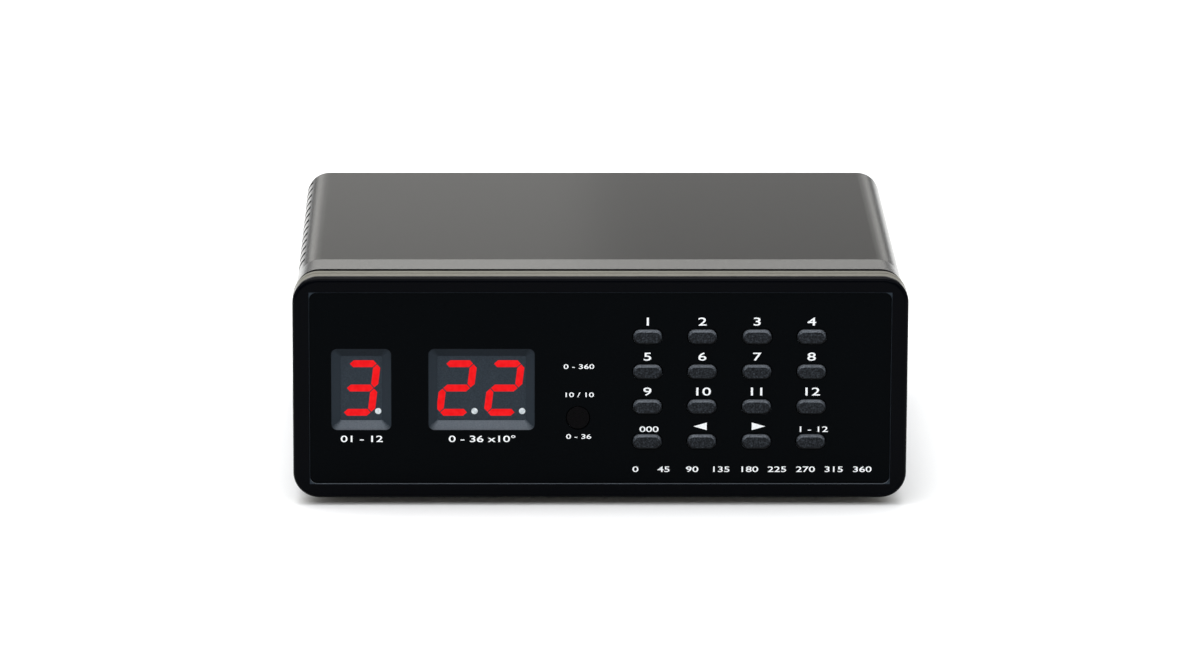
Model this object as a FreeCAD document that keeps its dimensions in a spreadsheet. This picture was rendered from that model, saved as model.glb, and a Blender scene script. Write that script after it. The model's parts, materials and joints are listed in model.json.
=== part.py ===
import FreeCAD, Part
import math
import os
import Sketcher

doc = FreeCAD.newDocument("rotator_controller")
sheet = doc.addObject("Spreadsheet::Sheet", "Sheet")

# Driving dimensions in millimetres. Depths are measured back from the front plane of the bezel,
# heights up from the underside of the bezel.
SIZES = {
    # how far a cut runs past what it cuts, and how far a joined form is sunk into the other
    "cut_over": 1, "overlap": 0.5,
    # bezel moulding
    "bezel_wide": 165, "bezel_high": 61, "bezel_corner": 7, "lip_deep": 2.4, "lip_round": 1.2,
    "front_wall": 3, "skirt_deep": 16, "skirt_wall": 2, "skirt_gap": 0.2,
    # case shells
    "case_depth": 131, "case_front": 10.8, "crease_depth": 25.6, "case_wide": 163.6, "case_wall": 2,
    "case_top_drop": 1, "case_bottom_rise": 0.6, "case_corner": 6.5, "flare_side": 0.4,
    "flare_top": 0.7, "case_rim_round": 0.5, "split_height": 12, "tongue_high": 1.5, "tongue_thick": 0.9,
    "tongue_gap": 0.1,
    # trim ring
    "ring_deep": 6.4, "ring_gap": 0.1, "ring_line_deep": 0.3, "ring_line_wide": 0.5, "ring_line_back": 3.2,
    # fascia overlay
    "fascia_wide": 156, "fascia_high": 53, "fascia_corner": 2, "fascia_recess": 0.9,
    "fascia_thick": 0.5, "fascia_gap": 0.15,
    # display windows
    "window_high": 22.6, "window_inner_high": 17.9, "window_middle": 30.1, "window_corner": 1.6,
    "window_inner_corner": 0.5, "pit_floor": 2.15, "memory_middle": -64.1, "memory_window_wide": 16.1,
    "memory_inner_wide": 11.2, "degree_middle": -31.8, "degree_window_wide": 28.5,
    "degree_inner_wide": 23.8,
    # displays
    "digit_pitch": 12.8, "display_high": 19, "display_deep": 8, "display_gap": 0.1, "digit_high": 15.4,
    "digit_wide": 9.4, "segment_thick": 1.9, "segment_deep": 0.4, "segment_mitre": 0.18, "digit_slant": 7,
    "digit_shift": 0.3, "point_radius": 0.85, "point_low": 6.4, "point_side": 4.8,
    # keys
    "key_wide": 7.7, "key_high": 3.8, "key_proud": 0.8, "key_gap": 0.3, "key_travel": 0.9,
    "key_first_across": 12.7, "key_pitch_across": 14.65, "key_top_row": 44.8, "key_pitch_up": 9.68,
    "key_crown": 0.45, "key_flange": 1, "flange_front": 6.4, "flange_thick": 1, "key_back": 9,
    "pill_radius": 1.4, "pill_thick": 0.25, "mat_thick": 2.4, "mat_margin": 3, "mat_corner": 2,
    # sensor
    "sensor_across": -5.9, "sensor_height": 22.3, "sensor_radius": 3.2, "sensor_gap": 0.1,
    "sensor_edge": 0.2, "sensor_flange": 1, "sensor_flange_thick": 0.8, "receiver_wide": 6,
    "receiver_high": 7, "receiver_gap": 0.3, "receiver_dome_radius": 2.5, "receiver_dome": 1.5,
    "receiver_dome_round": 1.2,
    # front board
    "board_thick": 1.6, "front_board_wide": 151, "front_board_high": 47, "boss_radius": 2.6,
    "boss_across": 71.5, "boss_up": 19.5, "pilot_radius": 0.9, "screw_radius": 1.5,
    "screw_head_radius": 2.7, "screw_head_thick": 1.6, "screw_hole_gap": 0.2, "front_screw_bite": 5,
    # air slots
    "vent_count": 13, "vent_first": 34, "vent_pitch": 7.8, "vent_wide": 2.6, "vent_high": 20,
    "vent_top_drop": 2,
    # rear panel, terminals and cord gland
    "panel_thick": 2, "panel_inset": 1.6, "groove_deep": 1, "groove_gap": 0.1, "terminal_deep": 10,
    "terminal_wide": 38, "terminal_high": 15, "terminal_floor": 4, "terminal_pitch": 9.5,
    "terminal_across": -44, "terminal_height": 26, "barrier_thick": 1.4, "plate_thick": 0.8,
    "plate_side_gap": 0.3, "plate_inset": 1.5, "terminal_screw_radius": 3, "terminal_head_thick": 2.2,
    "terminal_slot_wide": 0.8, "terminal_slot_deep": 1.1,
    "gland_across": 52, "gland_height": 18, "gland_bore_radius": 3.3,
    "gland_radius": 6, "gland_neck_radius": 5, "gland_flange_radius": 7.5, "gland_proud": 7,
    "gland_inside": 5, "gland_gap": 0.1, "gland_flange_thick": 1.5, "gland_edge": 1,
    # main board
    "main_wide": 80, "main_deep": 94, "main_across": -30, "main_front": 25, "standoff_high": 6,
    "standoff_radius": 3, "main_screw_inset": 4, "main_screw_bite": 4,
    # transformer
    "core_wide": 48, "core_high": 40, "core_stack": 20, "core_window_wide": 8, "core_window_high": 24,
    "core_across": 43, "core_middle": 92, "coil_proud": 7, "coil_gap": 0.3, "bracket_thick": 1,
    "bracket_foot": 7, "bracket_deep": 16, "bracket_screw_radius": 1.5, "bracket_screw_gap": 0.1,
    "bracket_screw_bite": 1.5, "coil_corner": 6,
    # case screws and feet
    "pillar_radius": 3.5, "pillar_across": 74, "pillar_front": 24, "pillar_back": 120,
    "case_screw_head_radius": 3, "case_screw_head_thick": 2, "case_pilot_deep": 14,
    "case_thread_radius": 1.3, "case_screw_bite": 8,
    "foot_high": 2, "foot_radius": 6, "foot_across": 60, "foot_front": 24, "foot_back": 116,
    "foot_edge": 0.6,
    # ribbon cable
    "ribbon_wide": 18, "ribbon_thick": 0.9, "ribbon_bend": 6, "ribbon_across": -46, "ribbon_height": 26,
    "ribbon_depth": 30, "header_wide": 22, "header_high": 6, "header_deep": 5,
    # parts on the main board: middle across, middle depth and size of each
    "relay_wide": 19, "relay_deep": 15.5, "relay_high": 15, "relay_across": -60, "relay_depth": 68,
    "relay_pitch": 20, "motor_cap_radius": 12.5, "motor_cap_long": 44, "motor_cap_across": -22,
    "motor_cap_depth": 100, "filter_cap_radius": 6.5, "filter_cap_high": 25, "filter_cap_across": -8,
    "filter_cap_depth": 72, "filter_cap_pitch": 16, "sink_wide": 36, "sink_high": 28, "sink_base": 3,
    "sink_fin_long": 9, "sink_fin_thick": 1.2, "sink_fins": 7, "sink_across": -31, "sink_depth": 50,
    "regulator_wide": 10, "regulator_high": 9, "regulator_deep": 4.5, "regulator_tab": 6.5,
    "regulator_tab_thick": 1.3, "rectifier_wide": 20, "rectifier_deep": 5, "rectifier_high": 14,
    "rectifier_across": -6, "rectifier_depth": 83, "chip_wide": 34, "chip_deep": 13, "chip_high": 4,
    "chip_across": -15, "chip_depth": 38, "chip_legs": 14, "chip_leg_pitch": 2.29,
    "chip_leg_reach": 1, "chip_lift": 0.6, "leg_pitch": 2.54, "leg_wide": 0.6, "regulator_lift": 8,
    "fuse_radius": 2.6, "fuse_long": 20, "fuse_across": -56, "fuse_depth": 108, "fuse_cap_long": 5,
    "fuse_lift": 1.4, "fuse_cap_over": 0.3, "clip_thick": 0.5, "clip_wide": 4, "clip_gap": 0.05,
    "clip_over": 1, "relay_round": 0.8, "motor_cap_edge": 1.2, "filter_cap_edge": 0.8,
    "rectifier_round": 1,
}

for row, (alias, number) in enumerate(SIZES.items(), start=1):
    sheet.set(f"A{row}", alias.replace("_", " "))
    sheet.set(f"B{row}", str(number))
    sheet.setAlias(f"B{row}", alias)
doc.recompute()

# Places that several pieces share, as expressions of the sheet. Y = 0 is half of the whole depth,
# from the key tops to the back of the terminal block.
FRONT = ("(Sheet.key_proud - (Sheet.case_depth - Sheet.panel_inset + Sheet.terminal_deep"
         " + Sheet.key_proud) / 2)")
CASE_HIGH = "(Sheet.bezel_high - Sheet.case_top_drop - Sheet.case_bottom_rise)"
CASE_BOTTOM = "(Sheet.foot_high + Sheet.case_bottom_rise)"
CASE_TOP = "(Sheet.foot_high + Sheet.bezel_high - Sheet.case_top_drop)"
CASE_MIDDLE = f"({CASE_BOTTOM} + {CASE_HIGH} / 2)"
FLOOR = f"({CASE_BOTTOM} + Sheet.case_wall)"
CAVITY_WIDE = "(Sheet.case_wide - 2 * Sheet.case_wall)"
CAVITY_HIGH = f"({CASE_HIGH} - 2 * Sheet.case_wall)"
CAVITY_CORNER = "(Sheet.case_corner - Sheet.case_wall)"
BEZEL_MIDDLE = "(Sheet.foot_high + Sheet.bezel_high / 2)"
SKIRT_WIDE = f"({CAVITY_WIDE} - 2 * Sheet.skirt_gap)"
SKIRT_HIGH = f"({CAVITY_HIGH} - 2 * Sheet.skirt_gap)"
SKIRT_CORNER = f"({CAVITY_CORNER} - Sheet.skirt_gap)"
DISPLAY_FRONT = "(Sheet.pit_floor + Sheet.display_gap)"
BOARD_FRONT = f"({DISPLAY_FRONT} + Sheet.display_deep)"
BOARD_BACK = f"({BOARD_FRONT} + Sheet.board_thick)"
PANEL_BACK = "(Sheet.case_depth - Sheet.panel_inset)"
PANEL_FRONT = f"({PANEL_BACK} - Sheet.panel_thick)"
SPLIT = "(Sheet.foot_high + Sheet.split_height)"
MAIN_BOTTOM = f"({FLOOR} + Sheet.standoff_high)"
MAIN_TOP = f"({MAIN_BOTTOM} + Sheet.board_thick)"


finished = []


def value(expression):
    """The present number of an expression of the sheet."""
    return float(sheet.evalExpression(expression))


def above(height):
    """A height over the underside of the bezel, as a Z place."""
    return f"(Sheet.foot_high + {height})"


def at(depth):
    """A depth behind the front plane of the bezel, as a Y place."""
    return f"({FRONT} + {depth})"


def joined(count, first, kind="Coincident"):
    """Constraints that join each edge's end to the next edge's start."""
    return [Sketcher.Constraint(kind, first + index, 2, first + (index + 1) % count, 1)
            for index in range(count)]


def spot(x, z):
    """A point of a sketch."""
    return FreeCAD.Vector(x, z, 0)


def arc(x, z, radius, start, end):
    """An arc of a circle between two angles."""
    return Part.ArcOfCircle(Part.Circle(spot(x, z), FreeCAD.Vector(0, 0, 1), radius), start, end)


def closed_lines(places):
    """Straight edges round a list of points."""
    return [Part.LineSegment(spot(*place), spot(*places[(index + 1) % len(places)]))
            for index, place in enumerate(places)]


def polygon(points):
    """A closed outline through points, each an X and a Z expression."""
    def draw(first):
        edges = closed_lines([(value(x), value(z)) for x, z in points])
        sized = []
        for index, (x, z) in enumerate(points):
            sized += [("DistanceX", (-1, 1, first + index, 1), x), ("DistanceY", (-1, 1, first + index, 1), z)]
        return edges, joined(len(points), first), sized
    return draw


def rectangle(wide, high, x="0", z="0"):
    """A rectangle round a middle point."""
    left, right = f"({x}) - ({wide}) / 2", f"({x}) + ({wide}) / 2"
    low, top = f"({z}) - ({high}) / 2", f"({z}) + ({high}) / 2"

    def draw(first):
        a, b, c, d = (value(part) for part in (left, right, low, top))
        edges = closed_lines([(a, c), (b, c), (b, d), (a, d)])
        rules = joined(4, first)
        rules += [Sketcher.Constraint("Vertical" if index % 2 else "Horizontal", first + index)
                  for index in range(4)]
        sized = [("DistanceX", (-1, 1, first, 1), left), ("DistanceY", (-1, 1, first, 1), low),
                 ("DistanceX", (-1, 1, first + 2, 1), right), ("DistanceY", (-1, 1, first + 2, 1), top)]
        return edges, rules, sized
    return draw


def rounded(wide, high, radius, x="0", z="0"):
    """A rectangle with four equal round corners, its edges in order round it."""
    def draw(first):
        cx, cz, w, d, r = (value(part) for part in (x, z, wide, high, radius))
        left, right, low, top = cx - w / 2, cx + w / 2, cz - d / 2, cz + d / 2
        lines = [((left + r, low), (right - r, low)), ((right, low + r), (right, top - r)),
                 ((right - r, top), (left + r, top)), ((left, top - r), (left, low + r))]
        centres = [(right - r, low + r), (right - r, top - r), (left + r, top - r), (left + r, low + r)]
        edges, rules = [], joined(8, first, "Tangent")
        for index in range(4):
            turn = (index - 1) * math.pi / 2
            edges.append(Part.LineSegment(spot(*lines[index][0]), spot(*lines[index][1])))
            edges.append(arc(*centres[index], r, turn, turn + math.pi / 2))
            rules.append(Sketcher.Constraint("Vertical" if index % 2 else "Horizontal", first + 2 * index))
        rules += [Sketcher.Constraint("Equal", first + 1, first + index) for index in (3, 5, 7)]
        sized = [("Radius", (first + 1,), radius),
                 ("DistanceY", (-1, 1, first, 1), f"({z}) - ({high}) / 2"),
                 ("DistanceX", (-1, 1, first + 2, 1), f"({x}) + ({wide}) / 2"),
                 ("DistanceY", (-1, 1, first + 4, 1), f"({z}) + ({high}) / 2"),
                 ("DistanceX", (-1, 1, first + 6, 1), f"({x}) - ({wide}) / 2")]
        return edges, rules, sized
    return draw


def pill(wide, high, x="0", z="0"):
    """A lying slot: two straight edges and two half round ends."""
    def draw(first):
        cx, cz, w, d = (value(part) for part in (x, z, wide, high))
        r, reach = d / 2, w / 2 - d / 2
        edges = [Part.LineSegment(spot(cx - reach, cz - r), spot(cx + reach, cz - r)),
                 arc(cx + reach, cz, r, -math.pi / 2, math.pi / 2),
                 Part.LineSegment(spot(cx + reach, cz + r), spot(cx - reach, cz + r)),
                 arc(cx - reach, cz, r, math.pi / 2, 3 * math.pi / 2)]
        rules = joined(4, first, "Tangent") + [Sketcher.Constraint("Horizontal", first)]
        sized = [("Radius", (first + 1,), f"({high}) / 2"),
                 ("DistanceX", (first + 3, 3, first + 1, 3), f"({wide}) - ({high})"),
                 ("DistanceX", (-1, 1, first + 1, 3), f"({x}) + (({wide}) - ({high})) / 2"),
                 ("DistanceY", (-1, 1, first + 1, 3), z)]
        return edges, rules, sized
    return draw


def circle(radius, x="0", z="0"):
    """A circle at a place."""
    def draw(first):
        edge = Part.Circle(spot(value(x), value(z)), FreeCAD.Vector(0, 0, 1), value(radius))
        sized = [("Radius", (first,), radius), ("DistanceX", (-1, 1, first, 3), x),
                 ("DistanceY", (-1, 1, first, 3), z)]
        return [edge], [], sized
    return draw


def draw_all(sketch, shapes):
    """Add the shapes' edges and constraints to a sketch, then bind their sizes to the sheet."""
    edges, rules, sized = [], [], []
    for shape in shapes:
        more_edges, more_rules, more_sized = shape(len(edges))
        edges += more_edges
        rules += more_rules
        sized += more_sized
    sketch.addGeometry(edges)
    rules += [Sketcher.Constraint(kind, *place, value(size)) for kind, place, size in sized]
    sketch.addConstraint(rules)
    first = len(rules) - len(sized)
    for index, (kind, place, size) in enumerate(sized):
        sketch.setExpression(f"Constraints[{first + index}]", size)


def new_body(name):
    """A body whose label names its file."""
    body = doc.addObject("PartDesign::Body", name)
    body.Label = name
    finished.append(body)
    return body


def outline(body, role, offset, shapes):
    """A sketch on one of the body's own planes, moved along the plane's normal."""
    sketch = body.newObject("Sketcher::SketchObject", f"{body.Name}_sketch")
    plane = [item for item in body.Origin.OriginFeatures if item.Role == role][0]
    sketch.AttachmentSupport = [(plane, "")]
    sketch.MapMode = "FlatFace"
    sketch.setExpression("AttachmentOffset.Base.z", offset)
    draw_all(sketch, shapes)
    return sketch


def extrude(body, kind, sketch, thick, backwards):
    """A pad or a pocket of a sketch."""
    feature = body.newObject(f"PartDesign::{kind}", f"{body.Name}_{kind.lower()}")
    feature.Profile = sketch
    feature.setExpression("Length", thick)
    feature.Reversed = backwards
    return feature


def slab(body, shapes, depth, thick):
    """Material from a depth, that far towards the rear."""
    return extrude(body, "Pad", outline(body, "XZ_Plane", f"-({at(depth)})", shapes), thick, True)


def opening(body, shapes, depth, thick):
    """A cut from a depth, that far towards the rear."""
    return extrude(body, "Pocket", outline(body, "XZ_Plane", f"-({at(depth)})", shapes), thick, False)


def layer(body, shapes, low, thick):
    """Material from a Z place, upwards."""
    return extrude(body, "Pad", outline(body, "XY_Plane", low, shapes), thick, False)


def bore(body, shapes, low, thick):
    """A cut from a Z place, upwards."""
    return extrude(body, "Pocket", outline(body, "XY_Plane", low, shapes), thick, True)


def loft(body, kind, depth, shape, far_depth, far_shape):
    """A straight loft between outlines at two depths."""
    near = outline(body, "XZ_Plane", f"-({at(depth)})", [shape])
    far = outline(body, "XZ_Plane", f"-({at(far_depth)})", [far_shape])
    feature = body.newObject(f"PartDesign::{kind}", f"{body.Name}_loft")
    feature.Profile = near
    feature.Sections = [far]
    feature.Ruled = True
    return feature


def fillet(body, radius, chosen):
    """Round the edges of the tip that a test picks."""
    doc.recompute()
    base = body.Tip
    names = [f"Edge{index + 1}" for index, edge in enumerate(base.Shape.Edges) if chosen(edge)]
    feature = body.newObject("PartDesign::Fillet", f"{body.Name}_fillet")
    feature.Base = (base, names)
    feature.setExpression("Radius", radius)
    return feature


def chamfer(body, size, chosen):
    """Bevel the edges of the tip that a test picks."""
    doc.recompute()
    base = body.Tip
    names = [f"Edge{index + 1}" for index, edge in enumerate(base.Shape.Edges) if chosen(edge)]
    feature = body.newObject("PartDesign::Chamfer", f"{body.Name}_chamfer")
    feature.Base = (base, names)
    feature.setExpression("Size", size)
    return feature


def lies_at_depth(depth):
    """A test for edges in one plane across the depth."""
    place = value(at(depth))
    return lambda edge: (abs(edge.BoundBox.YMin - place) < 1e-4 and abs(edge.BoundBox.YMax - place) < 1e-4)


def lies_at_height(height):
    """A test for edges in one level plane."""
    place = value(height)
    return lambda edge: (abs(edge.BoundBox.ZMin - place) < 1e-4 and abs(edge.BoundBox.ZMax - place) < 1e-4)


def four(across, up, x="0", z="0"):
    """Four places in a rectangle round a middle point."""
    return [(f"({x}) + {a} * ({across})", f"({z}) + {b} * ({up})") for a in (-1, 1) for b in (-1, 1)]


WINDOW_HEIGHT = above("Sheet.window_middle")
SENSOR_HEIGHT = above("Sheet.sensor_height")
FRONT_BOSSES = four("Sheet.boss_across", "Sheet.boss_up", "0", BEZEL_MIDDLE)
KEYS = [(f"(Sheet.key_first_across + {column} * Sheet.key_pitch_across)",
         above(f"(Sheet.key_top_row - {row} * Sheet.key_pitch_up)"))
        for row in range(4) for column in range(4)]
KEY_NAMES = [f"key_{number:02d}" for number in range(1, 13)]
KEY_NAMES += ["key_initial", "key_left", "key_right", "key_memory"]
PILLARS = [(f"{side} * Sheet.pillar_across", at(f"Sheet.{place}"))
           for side in (-1, 1) for place in ("pillar_front", "pillar_back")]


def make_front_bezel():
    """The black moulding: lip, skirt, sloped pits, key holes and screw bosses."""
    body = new_body("front_bezel")
    slab(body, [rounded("Sheet.bezel_wide", "Sheet.bezel_high", "Sheet.bezel_corner", "0", BEZEL_MIDDLE)],
         "0", "Sheet.lip_deep")
    fillet(body, "Sheet.lip_round", lies_at_depth("0"))
    slab(body, [rounded(SKIRT_WIDE, SKIRT_HIGH, SKIRT_CORNER, "0", CASE_MIDDLE)],
         "Sheet.lip_deep", "Sheet.skirt_deep - Sheet.lip_deep")
    wall = "2 * Sheet.skirt_wall"
    opening(body, [rounded(f"{SKIRT_WIDE} - {wall}", f"{SKIRT_HIGH} - {wall}",
                           f"{SKIRT_CORNER} - Sheet.skirt_wall", "0", CASE_MIDDLE)],
            "Sheet.front_wall", "Sheet.skirt_deep - Sheet.front_wall")
    opening(body, [rounded("Sheet.fascia_wide", "Sheet.fascia_high", "Sheet.fascia_corner", "0", BEZEL_MIDDLE)],
            "0", "Sheet.fascia_recess")
    for name in ("memory", "degree"):
        middle = f"Sheet.{name}_middle"
        mouth = rounded(f"Sheet.{name}_window_wide", "Sheet.window_high", "Sheet.window_corner",
                        middle, WINDOW_HEIGHT)
        throat = rounded(f"Sheet.{name}_inner_wide", "Sheet.window_inner_high",
                         "Sheet.window_inner_corner", middle, WINDOW_HEIGHT)
        loft(body, "SubtractiveLoft", "Sheet.fascia_recess", mouth, "Sheet.pit_floor", throat)
        opening(body, [throat], "Sheet.pit_floor", "Sheet.front_wall - Sheet.pit_floor")
        digits = 1 if name == "memory" else 2
        seat = f"({digits} * Sheet.digit_pitch + 2 * Sheet.display_gap)"
        opening(body, [rectangle(seat, "Sheet.display_high + 2 * Sheet.display_gap", middle, WINDOW_HEIGHT)],
                DISPLAY_FRONT, f"Sheet.front_wall - {DISPLAY_FRONT}")
    grown = ["Sheet.key_wide + 2 * Sheet.key_gap", "Sheet.key_high + 2 * Sheet.key_gap"]
    opening(body, [pill(*grown, x, z) for x, z in KEYS],
            "Sheet.fascia_recess", "Sheet.front_wall - Sheet.fascia_recess")
    opening(body, [circle("Sheet.sensor_radius + Sheet.sensor_gap", "Sheet.sensor_across", SENSOR_HEIGHT)],
            "Sheet.fascia_recess", "Sheet.front_wall - Sheet.fascia_recess")
    slab(body, [circle("Sheet.boss_radius", x, z) for x, z in FRONT_BOSSES],
         "Sheet.front_wall", f"{BOARD_FRONT} - Sheet.front_wall")
    opening(body, [circle("Sheet.pilot_radius", x, z) for x, z in FRONT_BOSSES],
            "Sheet.front_wall", f"{BOARD_FRONT} - Sheet.front_wall")
    return body


def make_fascia_overlay():
    """The gloss sheet with its cut-outs for displays, keys and sensor."""
    body = new_body("fascia_overlay")
    front = "Sheet.fascia_recess - Sheet.fascia_thick"
    gap = "2 * Sheet.fascia_gap"
    slab(body, [rounded(f"Sheet.fascia_wide - {gap}", f"Sheet.fascia_high - {gap}",
                        "Sheet.fascia_corner - Sheet.fascia_gap", "0", BEZEL_MIDDLE)],
         front, "Sheet.fascia_thick")
    cuts = [rounded(f"Sheet.{name}_window_wide", "Sheet.window_high", "Sheet.window_corner",
                    f"Sheet.{name}_middle", WINDOW_HEIGHT) for name in ("memory", "degree")]
    cuts += [pill("Sheet.key_wide + 2 * Sheet.key_gap", "Sheet.key_high + 2 * Sheet.key_gap", x, z)
             for x, z in KEYS]
    cuts.append(circle("Sheet.sensor_radius + Sheet.sensor_gap", "Sheet.sensor_across", SENSOR_HEIGHT))
    opening(body, cuts, front, "Sheet.fascia_thick")
    return body


def make_trim_ring():
    """The band between bezel and case, with one fine line round it."""
    body = new_body("trim_ring")
    slab(body, [rounded("Sheet.bezel_wide", "Sheet.bezel_high", "Sheet.bezel_corner", "0", BEZEL_MIDDLE)],
         "Sheet.lip_deep", "Sheet.ring_deep")
    back = "Sheet.lip_deep + Sheet.ring_deep"
    chamfer(body, "Sheet.case_rim_round", lies_at_depth(back))
    grown = "2 * Sheet.ring_gap"
    opening(body, [rounded(f"{SKIRT_WIDE} + {grown}", f"{SKIRT_HIGH} + {grown}",
                           f"{SKIRT_CORNER} + Sheet.ring_gap", "0", CASE_MIDDLE)],
            "Sheet.lip_deep", "Sheet.ring_deep")
    shrunk = "2 * Sheet.ring_line_deep"
    over = "2 * Sheet.cut_over"
    opening(body, [rounded(f"Sheet.bezel_wide + {over}", f"Sheet.bezel_high + {over}",
                           "Sheet.bezel_corner + Sheet.cut_over", "0", BEZEL_MIDDLE),
                   rounded(f"Sheet.bezel_wide - {shrunk}", f"Sheet.bezel_high - {shrunk}",
                           "Sheet.bezel_corner - Sheet.ring_line_deep", "0", BEZEL_MIDDLE)],
            "Sheet.lip_deep + Sheet.ring_line_back", "Sheet.ring_line_wide")
    return body


def make_case_tube(name):
    """The whole case outline with its flared front and its cavity, before it is split."""
    body = new_body(name)
    case = rounded("Sheet.case_wide", CASE_HIGH, "Sheet.case_corner", "0", CASE_MIDDLE)
    flared = rounded("Sheet.case_wide + 2 * Sheet.flare_side", f"{CASE_HIGH} + Sheet.flare_top",
                     "Sheet.case_corner + Sheet.flare_side", "0", f"{CASE_MIDDLE} + Sheet.flare_top / 2")
    slab(body, [case], "Sheet.crease_depth", "Sheet.case_depth - Sheet.crease_depth")
    loft(body, "AdditiveLoft", "Sheet.case_front", flared, "Sheet.crease_depth", case)
    chamfer(body, "Sheet.case_rim_round", lies_at_depth("Sheet.case_front"))
    opening(body, [rounded(CAVITY_WIDE, CAVITY_HIGH, CAVITY_CORNER, "0", CASE_MIDDLE)],
            "Sheet.case_front", "Sheet.case_depth - Sheet.case_front")
    groove = "2 * Sheet.groove_deep"
    opening(body, [rounded(f"{CAVITY_WIDE} + {groove}", f"{CAVITY_HIGH} + {groove}",
                           f"{CAVITY_CORNER} + Sheet.groove_deep", "0", CASE_MIDDLE)],
            f"{PANEL_FRONT} - Sheet.groove_gap", "Sheet.panel_thick + 2 * Sheet.groove_gap")
    return body


def make_top_cover():
    """The pewter shell: top, shoulders and sides, with air slots on the left."""
    body = make_case_tube("top_cover")
    whole = "Sheet.case_depth - Sheet.case_front"
    low = f"{SPLIT} - Sheet.foot_high"
    opening(body, [rectangle("Sheet.bezel_wide + 2 * Sheet.cut_over", low, "0", f"{SPLIT} - ({low}) / 2")],
            "Sheet.case_front", whole)
    rebate = "Sheet.case_wide - 2 * (Sheet.case_wall - Sheet.tongue_thick - Sheet.tongue_gap)"
    high = "(Sheet.tongue_high + Sheet.tongue_gap)"
    opening(body, [rectangle(rebate, high, "0", f"{SPLIT} + {high} / 2")], "Sheet.case_front", whole)
    vent_middle = f"{CASE_TOP} - Sheet.vent_top_drop - Sheet.vent_high / 2"
    vents = []
    for index in range(round(value("Sheet.vent_count"))):
        vents.append(rectangle("Sheet.vent_wide", "Sheet.vent_high",
                               at(f"(Sheet.vent_first + {index} * Sheet.vent_pitch)"), vent_middle))
    sketch = outline(body, "YZ_Plane", "-Sheet.case_wide / 2 - Sheet.flare_side", vents)
    extrude(body, "Pocket", sketch, "Sheet.case_corner + Sheet.flare_side", True)
    top = f"({CASE_TOP} - Sheet.case_wall)"
    low = f"({SPLIT} + Sheet.tongue_gap)"
    layer(body, [circle("Sheet.pillar_radius", x, y) for x, y in PILLARS], low,
          f"{top} + Sheet.overlap - {low}")
    bore(body, [circle("Sheet.case_thread_radius", x, y) for x, y in PILLARS], low, "Sheet.case_pilot_deep")
    return body


def make_bottom_cover():
    """The base shell: floor, low walls, tongue, board standoffs and screw wells."""
    body = make_case_tube("bottom_cover")
    whole = "Sheet.case_depth - Sheet.case_front"
    high = f"{CASE_TOP} + Sheet.flare_top + Sheet.cut_over - {SPLIT}"
    opening(body, [rectangle("Sheet.bezel_wide + 2 * Sheet.cut_over", high, "0", f"{SPLIT} + ({high}) / 2")],
            "Sheet.case_front", whole)
    tongue = f"({CAVITY_WIDE} + Sheet.tongue_thick) / 2"
    slab(body, [rectangle("Sheet.tongue_thick", "Sheet.tongue_high + Sheet.overlap", f"{side} * ({tongue})",
                          f"{SPLIT} + (Sheet.tongue_high - Sheet.overlap) / 2") for side in (-1, 1)],
         "Sheet.case_front", f"{PANEL_FRONT} - Sheet.groove_gap - Sheet.case_front")
    layer(body, [circle("Sheet.pillar_radius", x, y) for x, y in PILLARS],
          f"{FLOOR} - Sheet.overlap", f"{SPLIT} - {FLOOR} + Sheet.overlap")
    bore(body, [circle("Sheet.screw_radius + Sheet.screw_hole_gap", x, y) for x, y in PILLARS],
         CASE_BOTTOM, f"{SPLIT} - {CASE_BOTTOM}")
    bore(body, [circle("Sheet.case_screw_head_radius + Sheet.screw_hole_gap", x, y) for x, y in PILLARS],
         CASE_BOTTOM, "Sheet.case_screw_head_thick + 2 * Sheet.screw_hole_gap")
    layer(body, [circle("Sheet.standoff_radius", x, y) for x, y in main_screw_places()],
          f"{FLOOR} - Sheet.overlap", "Sheet.standoff_high + Sheet.overlap")
    bore(body, [circle("Sheet.pilot_radius", x, y) for x, y in main_screw_places()], FLOOR,
         "Sheet.standoff_high")
    bore(body, [circle("Sheet.bracket_screw_radius + Sheet.bracket_screw_gap", x, y)
                for x, y in bracket_screw_places()], CASE_BOTTOM, "Sheet.case_wall")
    return body


def bracket_screw_places():
    """The two places beside the transformer where its strap is screwed down."""
    reach = "(Sheet.core_wide / 2 + Sheet.bracket_thick + Sheet.bracket_foot / 2)"
    return [(f"(Sheet.core_across + {side} * {reach})", at("Sheet.core_middle")) for side in (-1, 1)]


def main_screw_places():
    """The four corners of the main board where it is screwed down."""
    across = "(Sheet.main_wide / 2 - Sheet.main_screw_inset)"
    along = "(Sheet.main_deep / 2 - Sheet.main_screw_inset)"
    return four(across, along, "Sheet.main_across", at("(Sheet.main_front + Sheet.main_deep / 2)"))


def make_rear_panel():
    """The plate held in the grooves of both shells, with the gland's hole."""
    body = new_body("rear_panel")
    grown = "2 * (Sheet.groove_deep - Sheet.groove_gap)"
    slab(body, [rounded(f"{CAVITY_WIDE} + {grown}", f"{CAVITY_HIGH} + {grown}",
                        f"{CAVITY_CORNER} + Sheet.groove_deep - Sheet.groove_gap", "0", CASE_MIDDLE)],
         PANEL_FRONT, "Sheet.panel_thick")
    opening(body, [circle("Sheet.gland_neck_radius + Sheet.gland_gap", "Sheet.gland_across",
                          above("Sheet.gland_height"))], PANEL_FRONT, "Sheet.panel_thick")
    return body


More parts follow.
